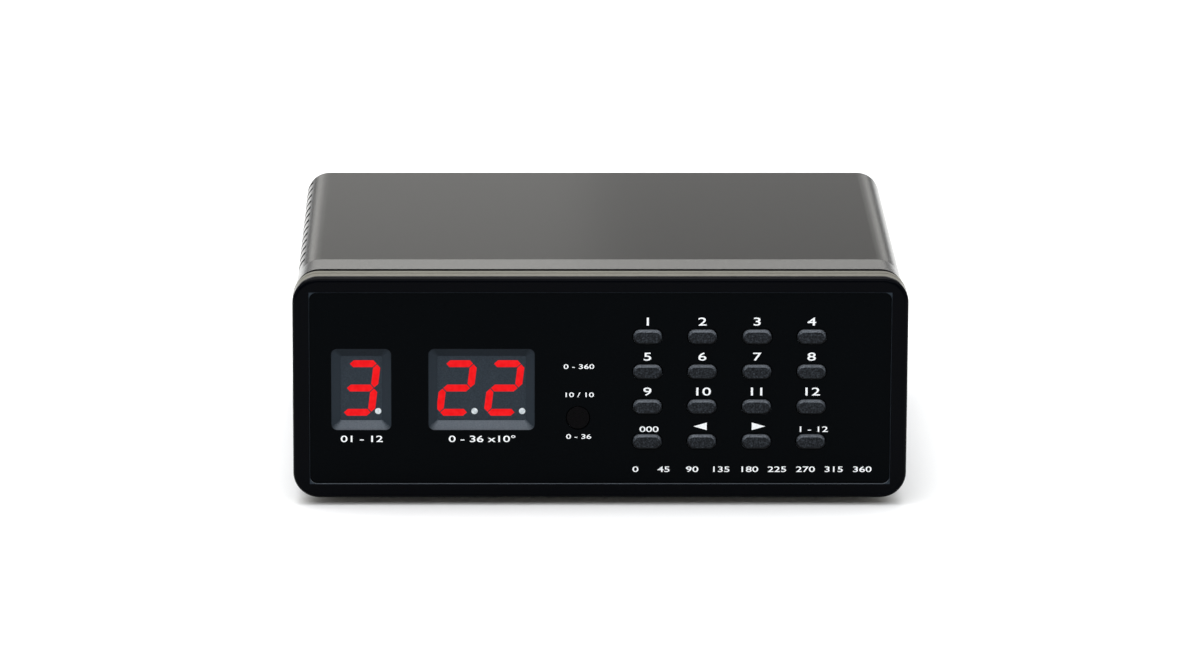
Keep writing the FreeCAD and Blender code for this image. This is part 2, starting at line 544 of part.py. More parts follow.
def make_display(name, digits):
    """A seven segment display housing with wells for its segments."""
    body = new_body(f"{name}_display")
    slab(body, [rectangle(f"{digits} * Sheet.digit_pitch", "Sheet.display_high",
                          f"Sheet.{name}_middle", WINDOW_HEIGHT)], DISPLAY_FRONT, "Sheet.display_deep")
    wells = []
    for digit in range(digits):
        middle = digit_middle(name, digits, digit)
        wells += [polygon(segment_points(middle, letter)) for letter in "abcdefg"]
        wells.append(circle("Sheet.point_radius", *point_place(middle)))
    opening(body, wells, DISPLAY_FRONT, "Sheet.segment_deep")
    return body


def digit_middle(name, digits, digit):
    """The X place of one digit of a display."""
    return f"(Sheet.{name}_middle + ({digit} - ({digits} - 1) / 2) * Sheet.digit_pitch - Sheet.digit_shift)"


def point_place(middle):
    """The place of a digit's decimal point."""
    return f"({middle} + Sheet.point_side)", f"({WINDOW_HEIGHT} - Sheet.point_low)"


def segment_points(middle, letter):
    """The outline of one segment of a slanted digit, in order round it."""
    thick, mitre = "Sheet.segment_thick", "Sheet.segment_mitre"
    wide, high = "Sheet.digit_wide / 2", "Sheet.digit_high / 2"
    if letter in "adg":
        level = {"a": f"({high} - {thick} / 2)", "d": f"-({high} - {thick} / 2)", "g": "0"}[letter]
        reach = f"({wide} - {thick} / 2 - {mitre})"
        half = f"({thick} / 2)"
        local = [(f"-{reach}", level), (f"(-{reach} + {half})", f"({level} + {half})"),
                 (f"({reach} - {half})", f"({level} + {half})"), (reach, level),
                 (f"({reach} - {half})", f"({level} - {half})"),
                 (f"(-{reach} + {half})", f"({level} - {half})")]
    else:
        side = -1 if letter in "ef" else 1
        column = f"({side} * ({wide} - {thick} / 2))"
        lower = f"{mitre}" if letter in "bf" else f"(-{high} + {thick} / 2 + {mitre})"
        upper = f"({high} - {thick} / 2 - {mitre})" if letter in "bf" else f"(-{mitre})"
        half = f"({thick} / 2)"
        local = [(column, lower), (f"({column} + {half})", f"({lower} + {half})"),
                 (f"({column} + {half})", f"({upper} - {half})"), (column, upper),
                 (f"({column} - {half})", f"({upper} - {half})"),
                 (f"({column} - {half})", f"({lower} + {half})")]
    slant = "tan(Sheet.digit_slant * 1 deg)"
    return [(f"({middle} + {a} + ({b}) * {slant})", f"({WINDOW_HEIGHT} + {b})") for a, b in local]


def make_segments(name, label, digits, chosen):
    """The segments of a display that share one state, as separate small solids."""
    body = new_body(label)
    shapes = []
    for digit in range(digits):
        middle = digit_middle(name, digits, digit)
        shapes += [polygon(segment_points(middle, letter)) for letter in chosen]
    body.AllowCompound = True
    slab(body, shapes, DISPLAY_FRONT, "Sheet.segment_deep")
    return body


def make_decimal_points():
    """The white decimal points of both displays."""
    body = new_body("decimal_points")
    body.AllowCompound = True
    middles = [digit_middle("memory", 1, 0), digit_middle("degree", 2, 0), digit_middle("degree", 2, 1)]
    slab(body, [circle("Sheet.point_radius", *point_place(middle)) for middle in middles],
         DISPLAY_FRONT, "Sheet.segment_deep")
    return body


def make_key(name, x, z):
    """A rubber key: crowned top, stem, flange and contact pill."""
    body = new_body(name)
    body.AllowCompound = True
    slab(body, [pill("Sheet.key_wide", "Sheet.key_high", x, z)], "-Sheet.key_proud",
         "Sheet.key_back + Sheet.key_proud")
    chamfer(body, "Sheet.key_crown", lies_at_depth("(-Sheet.key_proud)"))
    flange = "2 * Sheet.key_flange"
    slab(body, [rectangle(f"Sheet.key_wide + {flange}", f"Sheet.key_high + {flange}", x, z)],
         "Sheet.flange_front", "Sheet.flange_thick")
    slab(body, [circle("Sheet.pill_radius", x, z)], "Sheet.key_back", "Sheet.pill_thick")
    return body


def make_keypad_mat():
    """The rubber sheet behind the keys, with a window for each key's flange."""
    body = new_body("keypad_mat")
    across = "(3 * Sheet.key_pitch_across)"
    up = "(3 * Sheet.key_pitch_up)"
    margin = "2 * (Sheet.key_flange + Sheet.key_gap + Sheet.mat_margin)"
    middle_x = f"(Sheet.key_first_across + {across} / 2)"
    middle_z = above(f"(Sheet.key_top_row - {up} / 2)")
    front = f"{BOARD_FRONT} - Sheet.mat_thick"
    slab(body, [rounded(f"{across} + Sheet.key_wide + {margin}", f"{up} + Sheet.key_high + {margin}",
                        "Sheet.mat_corner", middle_x, middle_z)], front, "Sheet.mat_thick")
    grown = "2 * (Sheet.key_flange + Sheet.key_gap)"
    opening(body, [rectangle(f"Sheet.key_wide + {grown}", f"Sheet.key_high + {grown}", x, z) for x, z in KEYS],
            front, "Sheet.mat_thick")
    return body


def make_sensor_window():
    """The dark round lens over the infrared receiver."""
    body = new_body("sensor_window")
    front = "Sheet.fascia_recess - Sheet.fascia_thick"
    slab(body, [circle("Sheet.sensor_radius", "Sheet.sensor_across", SENSOR_HEIGHT)], front,
         f"Sheet.front_wall - ({front})")
    chamfer(body, "Sheet.sensor_edge", lies_at_depth(front))
    slab(body, [circle("Sheet.sensor_radius + Sheet.sensor_flange", "Sheet.sensor_across", SENSOR_HEIGHT)],
         "Sheet.front_wall", "Sheet.sensor_flange_thick")
    return body


def make_infrared_receiver():
    """The receiver block on the front board, domed towards the lens."""
    body = new_body("infrared_receiver")
    front = "(Sheet.front_wall + Sheet.sensor_flange_thick + Sheet.receiver_gap)"
    slab(body, [circle("Sheet.receiver_dome_radius", "Sheet.sensor_across", SENSOR_HEIGHT)], front,
         "Sheet.receiver_dome")
    fillet(body, "Sheet.receiver_dome_round", lies_at_depth(front))
    slab(body, [rectangle("Sheet.receiver_wide", "Sheet.receiver_high", "Sheet.sensor_across", SENSOR_HEIGHT)],
         f"{front} + Sheet.receiver_dome", f"{BOARD_FRONT} - {front} - Sheet.receiver_dome")
    return body


def make_front_board():
    """The board behind the bezel, with its four screw holes."""
    body = new_body("front_board")
    slab(body, [rectangle("Sheet.front_board_wide", "Sheet.front_board_high", "0", BEZEL_MIDDLE)],
         BOARD_FRONT, "Sheet.board_thick")
    opening(body, [circle("Sheet.pilot_radius + Sheet.screw_hole_gap", x, z) for x, z in FRONT_BOSSES],
            BOARD_FRONT, "Sheet.board_thick")
    return body


def make_front_board_screws():
    """Four screws that hold the front board to the bezel's bosses."""
    body = new_body("front_board_screws")
    body.AllowCompound = True
    slab(body, [circle("Sheet.screw_head_radius", x, z) for x, z in FRONT_BOSSES], BOARD_BACK,
         "Sheet.screw_head_thick")
    slab(body, [circle("Sheet.pilot_radius", x, z) for x, z in FRONT_BOSSES],
         f"{BOARD_FRONT} - Sheet.front_screw_bite",
         "Sheet.front_screw_bite + Sheet.board_thick")
    return body


def make_main_board():
    """The main board on its standoffs."""
    body = new_body("main_board")
    middle = at("(Sheet.main_front + Sheet.main_deep / 2)")
    layer(body, [rectangle("Sheet.main_wide", "Sheet.main_deep", "Sheet.main_across", middle)],
          MAIN_BOTTOM, "Sheet.board_thick")
    bore(body, [circle("Sheet.pilot_radius + Sheet.screw_hole_gap", x, y) for x, y in main_screw_places()],
         MAIN_BOTTOM, "Sheet.board_thick")
    return body


def make_main_board_screws():
    """Four screws that hold the main board to its standoffs."""
    body = new_body("main_board_screws")
    body.AllowCompound = True
    layer(body, [circle("Sheet.screw_head_radius", x, y) for x, y in main_screw_places()], MAIN_TOP,
          "Sheet.screw_head_thick")
    layer(body, [circle("Sheet.pilot_radius", x, y) for x, y in main_screw_places()],
          f"{MAIN_BOTTOM} - Sheet.main_screw_bite", "Sheet.main_screw_bite + Sheet.board_thick")
    return body


def make_case_screws():
    """Four screws that hold the two shells together from below."""
    body = new_body("case_screws")
    body.AllowCompound = True
    low = f"{CASE_BOTTOM} + 2 * Sheet.screw_hole_gap"
    layer(body, [circle("Sheet.case_screw_head_radius", x, y) for x, y in PILLARS], low,
          "Sheet.case_screw_head_thick")
    layer(body, [circle("Sheet.case_thread_radius", x, y) for x, y in PILLARS],
          f"{low} + Sheet.case_screw_head_thick",
          f"{SPLIT} - ({low}) - Sheet.case_screw_head_thick + Sheet.case_screw_bite")
    return body


def make_rubber_feet():
    """Four round feet under the base."""
    body = new_body("rubber_feet")
    body.AllowCompound = True
    places = [(f"{side} * Sheet.foot_across", at(f"Sheet.{place}"))
              for side in (-1, 1) for place in ("foot_front", "foot_back")]
    layer(body, [circle("Sheet.foot_radius", x, y) for x, y in places], "0", CASE_BOTTOM)
    chamfer(body, "Sheet.foot_edge", lies_at_height("0"))
    return body


def primitive(kind, name, place, **sizes):
    """A solid primitive with its sizes and its place bound to the sheet."""
    item = doc.addObject(f"Part::{kind}", name)
    for field, expression in sizes.items():
        item.setExpression(field, expression)
    for axis, expression in zip("xyz", place):
        item.setExpression(f"Placement.Base.{axis}", expression)
    return item


def block(name, x, depth, low, wide, deep, high):
    """A box whose middle lies at X and depth, standing on a Z place."""
    place = (f"({x}) - ({wide}) / 2", f"{at(depth)} - ({deep}) / 2", low)
    return primitive("Box", name, place, Length=wide, Width=deep, Height=high)


def rod(name, x, y, z, radius, long, axis="Z"):
    """A cylinder from a place along one axis."""
    item = primitive("Cylinder", name, (x, y, z), Radius=radius, Height=long)
    turn = {"X": (FreeCAD.Vector(0, 1, 0), 90), "Y": (FreeCAD.Vector(1, 0, 0), -90),
            "Z": (FreeCAD.Vector(0, 0, 1), 0)}
    item.Placement.Rotation = FreeCAD.Rotation(*turn[axis])
    return item


def less(name, base, *tools):
    """One solid with others cut away."""
    for index, tool in enumerate(tools):
        item = doc.addObject("Part::Cut", f"{name}_cut{index}")
        item.Base, item.Tool = base, tool
        base = item
    return base


def union(name, *items):
    """Several solids made one."""
    item = doc.addObject("Part::MultiFuse", f"{name}_union")
    item.Shapes = list(items)
    item.Refine = True
    return item


def group(name, items):
    """Several separate solids under one name."""
    item = doc.addObject("Part::Compound", f"{name}_group")
    item.Links = list(items)
    return item


def rounds(name, base, radius, chosen):
    """Round the edges of a solid that a test picks."""
    doc.recompute()
    item = doc.addObject("Part::Fillet", f"{name}_round")
    item.Base = base
    size = value(radius)
    item.Edges = [(index + 1, size, size) for index, edge in enumerate(base.Shape.Edges) if chosen(edge)]
    return item


def bevels(name, base, size, chosen):
    """Bevel the edges of a solid that a test picks."""
    doc.recompute()
    item = doc.addObject("Part::Chamfer", f"{name}_bevel")
    item.Base = base
    cut = value(size)
    item.Edges = [(index + 1, cut, cut) for index, edge in enumerate(base.Shape.Edges) if chosen(edge)]
    return item


def keep(item, label):
    """Name a finished piece, so that it is checked and written."""
    item.Label = label
    finished.append(item)


def upright(edge):
    """A test for edges that stand upright."""
    box = edge.BoundBox
    return box.XLength < 1e-4 and box.YLength < 1e-4


def round_rim(edge):
    """A test for the closed rims of a rod."""
    return edge.isClosed()


def make_transformer():
    """The laminated core, its coil, the strap over it and the strap's screws."""
    x, low = "Sheet.core_across", FLOOR
    core = block("core_block", x, "Sheet.core_middle", low, "Sheet.core_wide", "Sheet.core_stack",
                 "Sheet.core_high")
    windows = []
    limb = "(Sheet.core_wide / 4)"
    window_low = f"{low} + (Sheet.core_high - Sheet.core_window_high) / 2"
    for side in (-1, 1):
        middle = f"({x} + {side} * {limb})"
        windows.append(block("core_window", middle, "Sheet.core_middle", window_low, "Sheet.core_window_wide",
                             "Sheet.core_stack + 2 * Sheet.cut_over", "Sheet.core_window_high"))
    keep(less("core", core, *windows), "transformer_core")
    gap = "Sheet.coil_gap"
    half_wide = f"({limb} + Sheet.core_window_wide / 2 - {gap})"
    deep = "(Sheet.core_stack + 2 * Sheet.coil_proud)"
    coil = block("coil_block", x, "Sheet.core_middle", f"{window_low} + {gap}", f"2 * {half_wide}", deep,
                 f"Sheet.core_window_high - 2 * {gap}")
    coil = rounds("coil", coil, "Sheet.coil_corner", upright)
    limb_wide = f"(2 * ({limb} - Sheet.core_window_wide / 2 + {gap}))"
    hole = block("coil_hole", x, "Sheet.core_middle", f"{window_low} - Sheet.cut_over", limb_wide,
                 f"Sheet.core_stack + 2 * {gap}", "Sheet.core_window_high + 2 * Sheet.cut_over")
    keep(less("coil", coil, hole), "transformer_coil")
    thick, foot = "Sheet.bracket_thick", "Sheet.bracket_foot"
    outer_wide = f"(Sheet.core_wide + 2 * {thick})"
    strap_deep = "Sheet.bracket_deep"
    outer = block("strap_outer", x, "Sheet.core_middle", low, outer_wide, strap_deep,
                  f"Sheet.core_high + {thick}")
    inner = block("strap_inner", x, "Sheet.core_middle", f"{low} - Sheet.cut_over", "Sheet.core_wide",
                  "Sheet.core_stack", "Sheet.core_high + Sheet.cut_over")
    feet = block("strap_feet", x, "Sheet.core_middle", low, f"{outer_wide} + 2 * {foot}", strap_deep, thick)
    holes = [rod("strap_hole", a, b, f"{low} - Sheet.cut_over",
                 "Sheet.bracket_screw_radius + Sheet.screw_hole_gap", f"{thick} + 2 * Sheet.cut_over")
             for a, b in bracket_screw_places()]
    keep(less("strap", union("strap", outer, feet), inner, *holes), "transformer_bracket")
    screws = []
    for a, b in bracket_screw_places():
        head = rod("strap_screw_head", a, b, f"{low} + {thick}", "Sheet.screw_head_radius",
                   "Sheet.screw_head_thick")
        stem = rod("strap_screw_stem", a, b, f"{low} - Sheet.bracket_screw_bite", "Sheet.bracket_screw_radius",
                   f"Sheet.bracket_screw_bite + {thick}")
        screws.append(union("strap_screw", head, stem))
    keep(group("strap_screws", screws), "transformer_screws")


def make_board_parts():
    """The relays, capacitors, rectifier, chip and fuse that stand on the main board."""
    relays = [block("relay", "Sheet.relay_across", f"(Sheet.relay_depth + {side} * Sheet.relay_pitch / 2)",
                    MAIN_TOP, "Sheet.relay_wide", "Sheet.relay_deep", "Sheet.relay_high") for side in (-1, 1)]
    relays = [bevels("relay", relay, "Sheet.relay_round", upright) for relay in relays]
    keep(group("relays", relays), "direction_relays")
    radius = "Sheet.motor_cap_radius"
    can = rod("motor_cap", "Sheet.motor_cap_across - Sheet.motor_cap_long / 2", at("Sheet.motor_cap_depth"),
              f"{MAIN_TOP} + {radius}", radius, "Sheet.motor_cap_long", "X")
    keep(bevels("motor_cap", can, "Sheet.motor_cap_edge", round_rim), "motor_capacitor")
    cans = []
    for side in (-1, 1):
        can = rod("filter_cap", f"Sheet.filter_cap_across + {side} * Sheet.filter_cap_pitch / 2",
                  at("Sheet.filter_cap_depth"), MAIN_TOP, "Sheet.filter_cap_radius", "Sheet.filter_cap_high")
        cans.append(bevels("filter_cap", can, "Sheet.filter_cap_edge", round_rim))
    keep(group("filter_caps", cans), "filter_capacitors")
    rectifier = block("rectifier", "Sheet.rectifier_across", "Sheet.rectifier_depth", MAIN_TOP,
                      "Sheet.rectifier_wide", "Sheet.rectifier_deep", "Sheet.rectifier_high")
    keep(bevels("rectifier", rectifier, "Sheet.rectifier_round", upright), "bridge_rectifier")
    make_chip()
    make_fuse()


def make_chip():
    """The microcontroller: a moulded block over two rows of legs."""
    low = f"{MAIN_TOP} + Sheet.chip_lift"
    pieces = [block("chip_block", "Sheet.chip_across", "Sheet.chip_depth", low, "Sheet.chip_wide",
                    "Sheet.chip_deep", "Sheet.chip_high")]
    for index in range(round(value("Sheet.chip_legs"))):
        x = f"(Sheet.chip_across + ({index} - (Sheet.chip_legs - 1) / 2) * Sheet.chip_leg_pitch)"
        pieces.append(block("chip_leg", x, "Sheet.chip_depth", MAIN_TOP, "Sheet.leg_wide",
                            "Sheet.chip_deep + 2 * Sheet.chip_leg_reach",
                            "Sheet.chip_high / 2 + Sheet.chip_lift"))
    keep(union("chip", *pieces), "microcontroller")


def make_fuse():
    """A glass fuse with its end caps, held by two spring clips."""
    middle = f"{MAIN_TOP} + Sheet.fuse_radius + Sheet.fuse_lift"
    start = "Sheet.fuse_across - Sheet.fuse_long / 2"
    glass = rod("fuse_glass", start, at("Sheet.fuse_depth"), middle, "Sheet.fuse_radius - Sheet.fuse_cap_over",
                "Sheet.fuse_long", "X")
    caps = [rod("fuse_cap", x, at("Sheet.fuse_depth"), middle, "Sheet.fuse_radius", "Sheet.fuse_cap_long", "X")
            for x in (start, f"{start} + Sheet.fuse_long - Sheet.fuse_cap_long")]
    keep(union("fuse", glass, *caps), "fuse")
    clips = []
    thick = "Sheet.clip_thick"
    for side in (-1, 1):
        x = f"(Sheet.fuse_across + {side} * (Sheet.fuse_long - Sheet.fuse_cap_long) / 2)"
        wide = f"2 * (Sheet.fuse_radius + {thick} + Sheet.clip_gap)"
        outer = block("clip_outer", x, "Sheet.fuse_depth", MAIN_TOP, "Sheet.clip_wide", wide,
                      "2 * Sheet.fuse_radius + Sheet.fuse_lift + Sheet.clip_over")
        inner = block("clip_inner", x, "Sheet.fuse_depth", f"{MAIN_TOP} + {thick}",
                      "Sheet.clip_wide + 2 * Sheet.cut_over",
                      f"{wide} - 2 * {thick}", "4 * Sheet.fuse_radius")
        clips.append(less("clip", outer, inner))
    keep(group("clips", clips), "fuse_clips")


def make_heat_sink():
    """A finned heat sink with the voltage regulator on its flat face."""
    x, depth, base = "Sheet.sink_across", "Sheet.sink_depth", "Sheet.sink_base"
    pieces = [block("sink_base", x, depth, MAIN_TOP, "Sheet.sink_wide", base, "Sheet.sink_high")]
    for index in range(round(value("Sheet.sink_fins"))):
        place = f"({x} + ({index} / (Sheet.sink_fins - 1) - 0.5) * (Sheet.sink_wide - Sheet.sink_fin_thick))"
        behind = f"({depth} + ({base} + Sheet.sink_fin_long - Sheet.overlap) / 2)"
        pieces.append(block("sink_fin", place, behind, MAIN_TOP, "Sheet.sink_fin_thick",
                            "Sheet.sink_fin_long + Sheet.overlap", "Sheet.sink_high"))
    keep(union("sink", *pieces), "heat_sink")
    face = f"({depth} - {base} / 2)"
    lifted = f"{MAIN_TOP} + Sheet.regulator_lift"
    case = block("regulator_case", x, f"({face} - Sheet.regulator_deep / 2)", lifted,
                 "Sheet.regulator_wide", "Sheet.regulator_deep", "Sheet.regulator_high")
    tab = block("regulator_tab", x, f"({face} - Sheet.regulator_tab_thick / 2)",
                f"{lifted} + Sheet.regulator_high - Sheet.overlap", "Sheet.regulator_wide",
                "Sheet.regulator_tab_thick", "Sheet.regulator_tab")
    legs = [block("regulator_leg", f"({x} + {side} * Sheet.leg_pitch)", f"({face} - Sheet.regulator_deep / 2)",
                  MAIN_TOP, "Sheet.leg_wide", "Sheet.leg_wide", "Sheet.regulator_lift + Sheet.overlap")
            for side in (-1, 0, 1)]
    keep(union("regulator", case, tab, *legs), "voltage_regulator")


def make_ribbon():
    """The flat cable from the front board down to the main board, and its two headers."""
    body = new_body("ribbon_cable")
    thick, bend = "Sheet.ribbon_thick", "Sheet.ribbon_bend"
    start = at(f"({BOARD_BACK} + Sheet.header_deep)")
    end = at("Sheet.ribbon_depth")
    high = above("Sheet.ribbon_height")
    low = f"({MAIN_TOP} + Sheet.header_deep)"

    def draw(first):
        y0, y1, z1, z0, t, r = (value(part) for part in (start, end, high, low, thick, bend))
        cy, cz = y1 - t / 2 - r, z1 - t / 2 - r
        edges = [Part.LineSegment(spot(y0, z1 + t / 2), spot(cy, z1 + t / 2)),
                 arc(cy, cz, r + t, 0, math.pi / 2),
                 Part.LineSegment(spot(y1 + t / 2, cz), spot(y1 + t / 2, z0)),
                 Part.LineSegment(spot(y1 + t / 2, z0), spot(y1 - t / 2, z0)),
                 Part.LineSegment(spot(y1 - t / 2, z0), spot(y1 - t / 2, cz)),
                 arc(cy, cz, r, 0, math.pi / 2),
                 Part.LineSegment(spot(cy, z1 - t / 2), spot(y0, z1 - t / 2)),
                 Part.LineSegment(spot(y0, z1 - t / 2), spot(y0, z1 + t / 2))]
        rule = Sketcher.Constraint
        rules = [rule("Tangent", first, 2, first + 1, 2), rule("Tangent", first + 1, 1, first + 2, 1),
                 rule("Coincident", first + 2, 2, first + 3, 1), rule("Coincident", first + 3, 2, first + 4, 1),
                 rule("Tangent", first + 4, 2, first + 5, 1), rule("Tangent", first + 5, 2, first + 6, 1),
                 rule("Coincident", first + 6, 2, first + 7, 1), rule("Coincident", first + 7, 2, first, 1),
                 rule("Horizontal", first), rule("Vertical", first + 2), rule("Horizontal", first + 3),
                 rule("Coincident", first + 1, 3, first + 5, 3)]
        sized = [("Radius", (first + 5,), bend),
                 ("DistanceX", (-1, 1, first, 1), start),
                 ("DistanceY", (-1, 1, first, 1), f"{high} + {thick} / 2"),
                 ("DistanceX", (-1, 1, first + 3, 1), f"{end} + {thick} / 2"),
                 ("DistanceY", (-1, 1, first + 3, 1), low),
                 ("DistanceX", (-1, 1, first + 3, 2), f"{end} - {thick} / 2")]
        return edges, rules, sized

    sketch = outline(body, "YZ_Plane", "Sheet.ribbon_across - Sheet.ribbon_wide / 2", [draw])
    extrude(body, "Pad", sketch, "Sheet.ribbon_wide", False)
    deep, tall = "Sheet.header_deep", "Sheet.header_high"
    upper = block("header_front", "Sheet.ribbon_across", f"({BOARD_BACK} + {deep} / 2)", f"{high} - {tall} / 2",
                  "Sheet.header_wide", deep, tall)
    lower = block("header_main", "Sheet.ribbon_across", "Sheet.ribbon_depth", MAIN_TOP, "Sheet.header_wide",
                  tall, deep)
    keep(group("headers", [upper, lower]), "ribbon_headers")


def make_terminals():
    """The screw terminal strip on the rear panel: block with barriers, plates and screws."""
    x, low = "Sheet.terminal_across", above("(Sheet.terminal_height - Sheet.terminal_high / 2)")
    floor_depth = f"({PANEL_BACK} + Sheet.terminal_floor / 2)"
    pieces = [block("terminal_floor", x, floor_depth, low, "Sheet.terminal_wide", "Sheet.terminal_floor",
                    "Sheet.terminal_high")]
    wall_depth = f"({PANEL_BACK} + Sheet.terminal_deep / 2)"
    for index in range(4):
        place = f"({x} + ({index} - 1.5) * Sheet.terminal_pitch)"
        pieces.append(block("terminal_wall", place, wall_depth, low, "Sheet.barrier_thick",
                            "Sheet.terminal_deep", "Sheet.terminal_high"))
    keep(union("terminal", *pieces), "terminal_block")
    plates, screws = [], []
    seat = f"({PANEL_BACK} + Sheet.terminal_floor)"
    height = above("Sheet.terminal_height")
    wide = "(Sheet.terminal_pitch - Sheet.barrier_thick - 2 * Sheet.plate_side_gap)"
    for index in range(3):
        place = f"({x} + ({index} - 1) * Sheet.terminal_pitch)"
        plates.append(block("terminal_plate", place, f"({seat} + Sheet.plate_thick / 2)",
                            f"{low} + Sheet.plate_inset", wide, "Sheet.plate_thick",
                            "Sheet.terminal_high - 2 * Sheet.plate_inset"))
        head = rod("terminal_head", place, at(f"({seat} + Sheet.plate_thick)"), height,
                   "Sheet.terminal_screw_radius", "Sheet.terminal_head_thick", "Y")
        across = block("terminal_slot", place, f"({seat} + Sheet.plate_thick + Sheet.terminal_head_thick)",
                       f"{height} - Sheet.terminal_slot_wide / 2", "3 * Sheet.terminal_screw_radius",
                       "2 * Sheet.terminal_slot_deep", "Sheet.terminal_slot_wide")
        screws.append(less("terminal_screw", head, across))
    keep(group("plates", plates), "terminal_plates")
    keep(group("terminal_screws", screws), "terminal_screws")


def make_cord_gland():
    """The bushing in the rear panel that the power lead passes through."""
    x, z = "Sheet.gland_across", above("Sheet.gland_height")
    body = new_body("cord_gland")
    slab(body, [circle("Sheet.gland_flange_radius", x, z)], PANEL_BACK, "Sheet.gland_flange_thick")
    slab(body, [circle("Sheet.gland_radius", x, z)], f"{PANEL_BACK} + Sheet.gland_flange_thick",
         "Sheet.gland_proud - Sheet.gland_flange_thick")
    chamfer(body, "Sheet.gland_edge", lies_at_depth(f"({PANEL_BACK} + Sheet.gland_proud)"))
    slab(body, [circle("Sheet.gland_neck_radius", x, z)], f"{PANEL_FRONT} - Sheet.gland_inside",
         "Sheet.gland_inside + Sheet.panel_thick")
    opening(body, [circle("Sheet.gland_bore_radius", x, z)], f"{PANEL_FRONT} - Sheet.gland_inside",
            "Sheet.gland_inside + Sheet.panel_thick + Sheet.gland_proud")


def main():
    make_front_bezel()
    make_fascia_overlay()
    make_trim_ring()
    make_top_cover()
    make_bottom_cover()
    make_rear_panel()
    for name, digits, lit, unlit in (("memory", 1, "abcdg", "ef"), ("degree", 2, "abdeg", "cf")):
        make_display(name, digits)
        make_segments(name, f"{name}_segments_lit", digits, lit)
        make_segments(name, f"{name}_segments_unlit", digits, unlit)
    make_decimal_points()
    for name, (x, z) in zip(KEY_NAMES, KEYS):
        make_key(name, x, z)
    make_keypad_mat()
    make_sensor_window()
    make_infrared_receiver()
    make_front_board()
    make_front_board_screws()
    make_main_board()
    make_main_board_screws()
    make_case_screws()
    make_rubber_feet()
    make_transformer()
    make_board_parts()
    make_heat_sink()
    make_ribbon()
    make_terminals()
    make_cord_gland()
    save()


def save():
    """Check every object and write each sub-part to its own file."""
    doc.recompute()
    for item in doc.Objects:
        if "Invalid" in item.State or "Error" in item.State:
            raise RuntimeError(f"{item.Name} failed: {item.State}")
    for piece in finished:
        if piece.Shape.isNull() or not piece.Shape.isValid():
            raise RuntimeError(f"{piece.Label} has no valid shape")
    os.makedirs("parts", exist_ok=True)
    for piece in finished:
        piece.Shape.exportStep(f"parts/{piece.Label}.step")
        print(f"{piece.Label}: {len(piece.Shape.Solids)} solids, {piece.Shape.Volume:.0f} cubic millimetres")


main()
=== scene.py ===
import json
import math

import bpy
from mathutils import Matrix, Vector


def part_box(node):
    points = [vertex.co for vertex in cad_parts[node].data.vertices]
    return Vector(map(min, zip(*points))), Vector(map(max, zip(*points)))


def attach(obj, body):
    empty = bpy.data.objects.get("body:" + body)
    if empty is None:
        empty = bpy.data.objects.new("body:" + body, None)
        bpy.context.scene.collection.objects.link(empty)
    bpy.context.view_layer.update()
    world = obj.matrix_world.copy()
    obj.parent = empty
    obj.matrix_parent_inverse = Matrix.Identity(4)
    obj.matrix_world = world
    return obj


bl_info = {
    "name": "Rotator Controller Dressing",
    "version": (1, 1, 0),
    "blender": (4, 5, 0),
    "location": "View3D > Sidebar > Controller",
    "description": "Finishes, printing and studio for a desk controller with digit displays and push keys",
    "category": "Object",
}

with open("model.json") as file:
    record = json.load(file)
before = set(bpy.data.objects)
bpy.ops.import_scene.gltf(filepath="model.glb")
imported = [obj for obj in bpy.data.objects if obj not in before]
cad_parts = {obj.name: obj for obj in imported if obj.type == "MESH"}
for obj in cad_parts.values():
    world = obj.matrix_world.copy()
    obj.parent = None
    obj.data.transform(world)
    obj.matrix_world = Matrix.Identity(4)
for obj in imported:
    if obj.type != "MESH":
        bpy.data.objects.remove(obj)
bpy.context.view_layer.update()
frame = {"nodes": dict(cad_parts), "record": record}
NODES = frame["nodes"]
MM = 0.001
CASE = "case"

# Places from the frame, in metres
FASCIA_LOW, FASCIA_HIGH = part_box("fascia_overlay")
BEZEL_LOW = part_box("front_bezel")[0]
COVER_LOW, COVER_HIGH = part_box("top_cover")
BASE_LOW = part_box("bottom_cover")[0]
NUMBERED_KEYS = [f"key_{number:02d}" for number in range(1, 13)]

# Sizes of the moulded pieces that the frame's boxes don't give
COVER_CORNER = 6.5 * MM  # radius of the case's long edges
FLARE_SIDE = 0.4 * MM  # how far the cover's front flares past its body, on each side
FLARE_TOP = 0.7 * MM  # and above it
KEY_FLANGE = 1.0 * MM  # how far a key's flange stands above the cap that shows

# Where the finishes stop
PAINT_DEPTH = 0.2 * MM  # lacquer reaches this far in from the outer skin; past it the slot walls are black, bare plastic that is also painted shade in the slots
RIM_PAINTED_SHADE = 1.1 * MM  # black strip along the cover's front edge: painted shade of the gap before the trim ring
RECESS_MARGIN = 0.2 * MM  # the bezel's rougher finish ends this far past the fascia, so the recess's ledge takes the wells' colours and, where it faces up, a painted highlight line

# Printing: X from the middle, Z from the underside of the bezel, each in millimetres
ARROW_TIPS = {"left": 25.1, "right": 44.4}
ARROW_LENGTH = 3.6
ARROW_HEIGHT = 2.1
ARROW_MIDDLE_Z = 19.95
TRIANGLE_LONG = 1.5  # length of a circle of three corners and radius 1, from its tip
TRIANGLE_HIGH = math.sqrt(3)  # and its height across
SMALL_BASE_Z = 18.4
RESET_X = 13.2
STORE_X = 57.2
RANGE_BASE_Z = 15.6
PRESET_RANGE_X = -64.0
DEGREE_RANGE_X = -31.6
SCALE_BASE_Z = 7.25
SCALE_FIRST_X = 9.6
SCALE_LAST_X = 70.6
SCALE_DEGREES = range(0, 361, 45)
SENSOR_X = -5.7
SENSOR_LINES = [("0 - 360", 35.9), ("10 / 10", 28.1), ("0 - 36", 16.5)]  # the words and their foot's Z
FIGURE_SHARE = 0.8  # height of a figure as a share of the font's size
FIGURE_STEPS = 6  # steps along each curve of a figure
UPRIGHT = (math.pi / 2, 0, 0)  # turns what is drawn flat to face the front
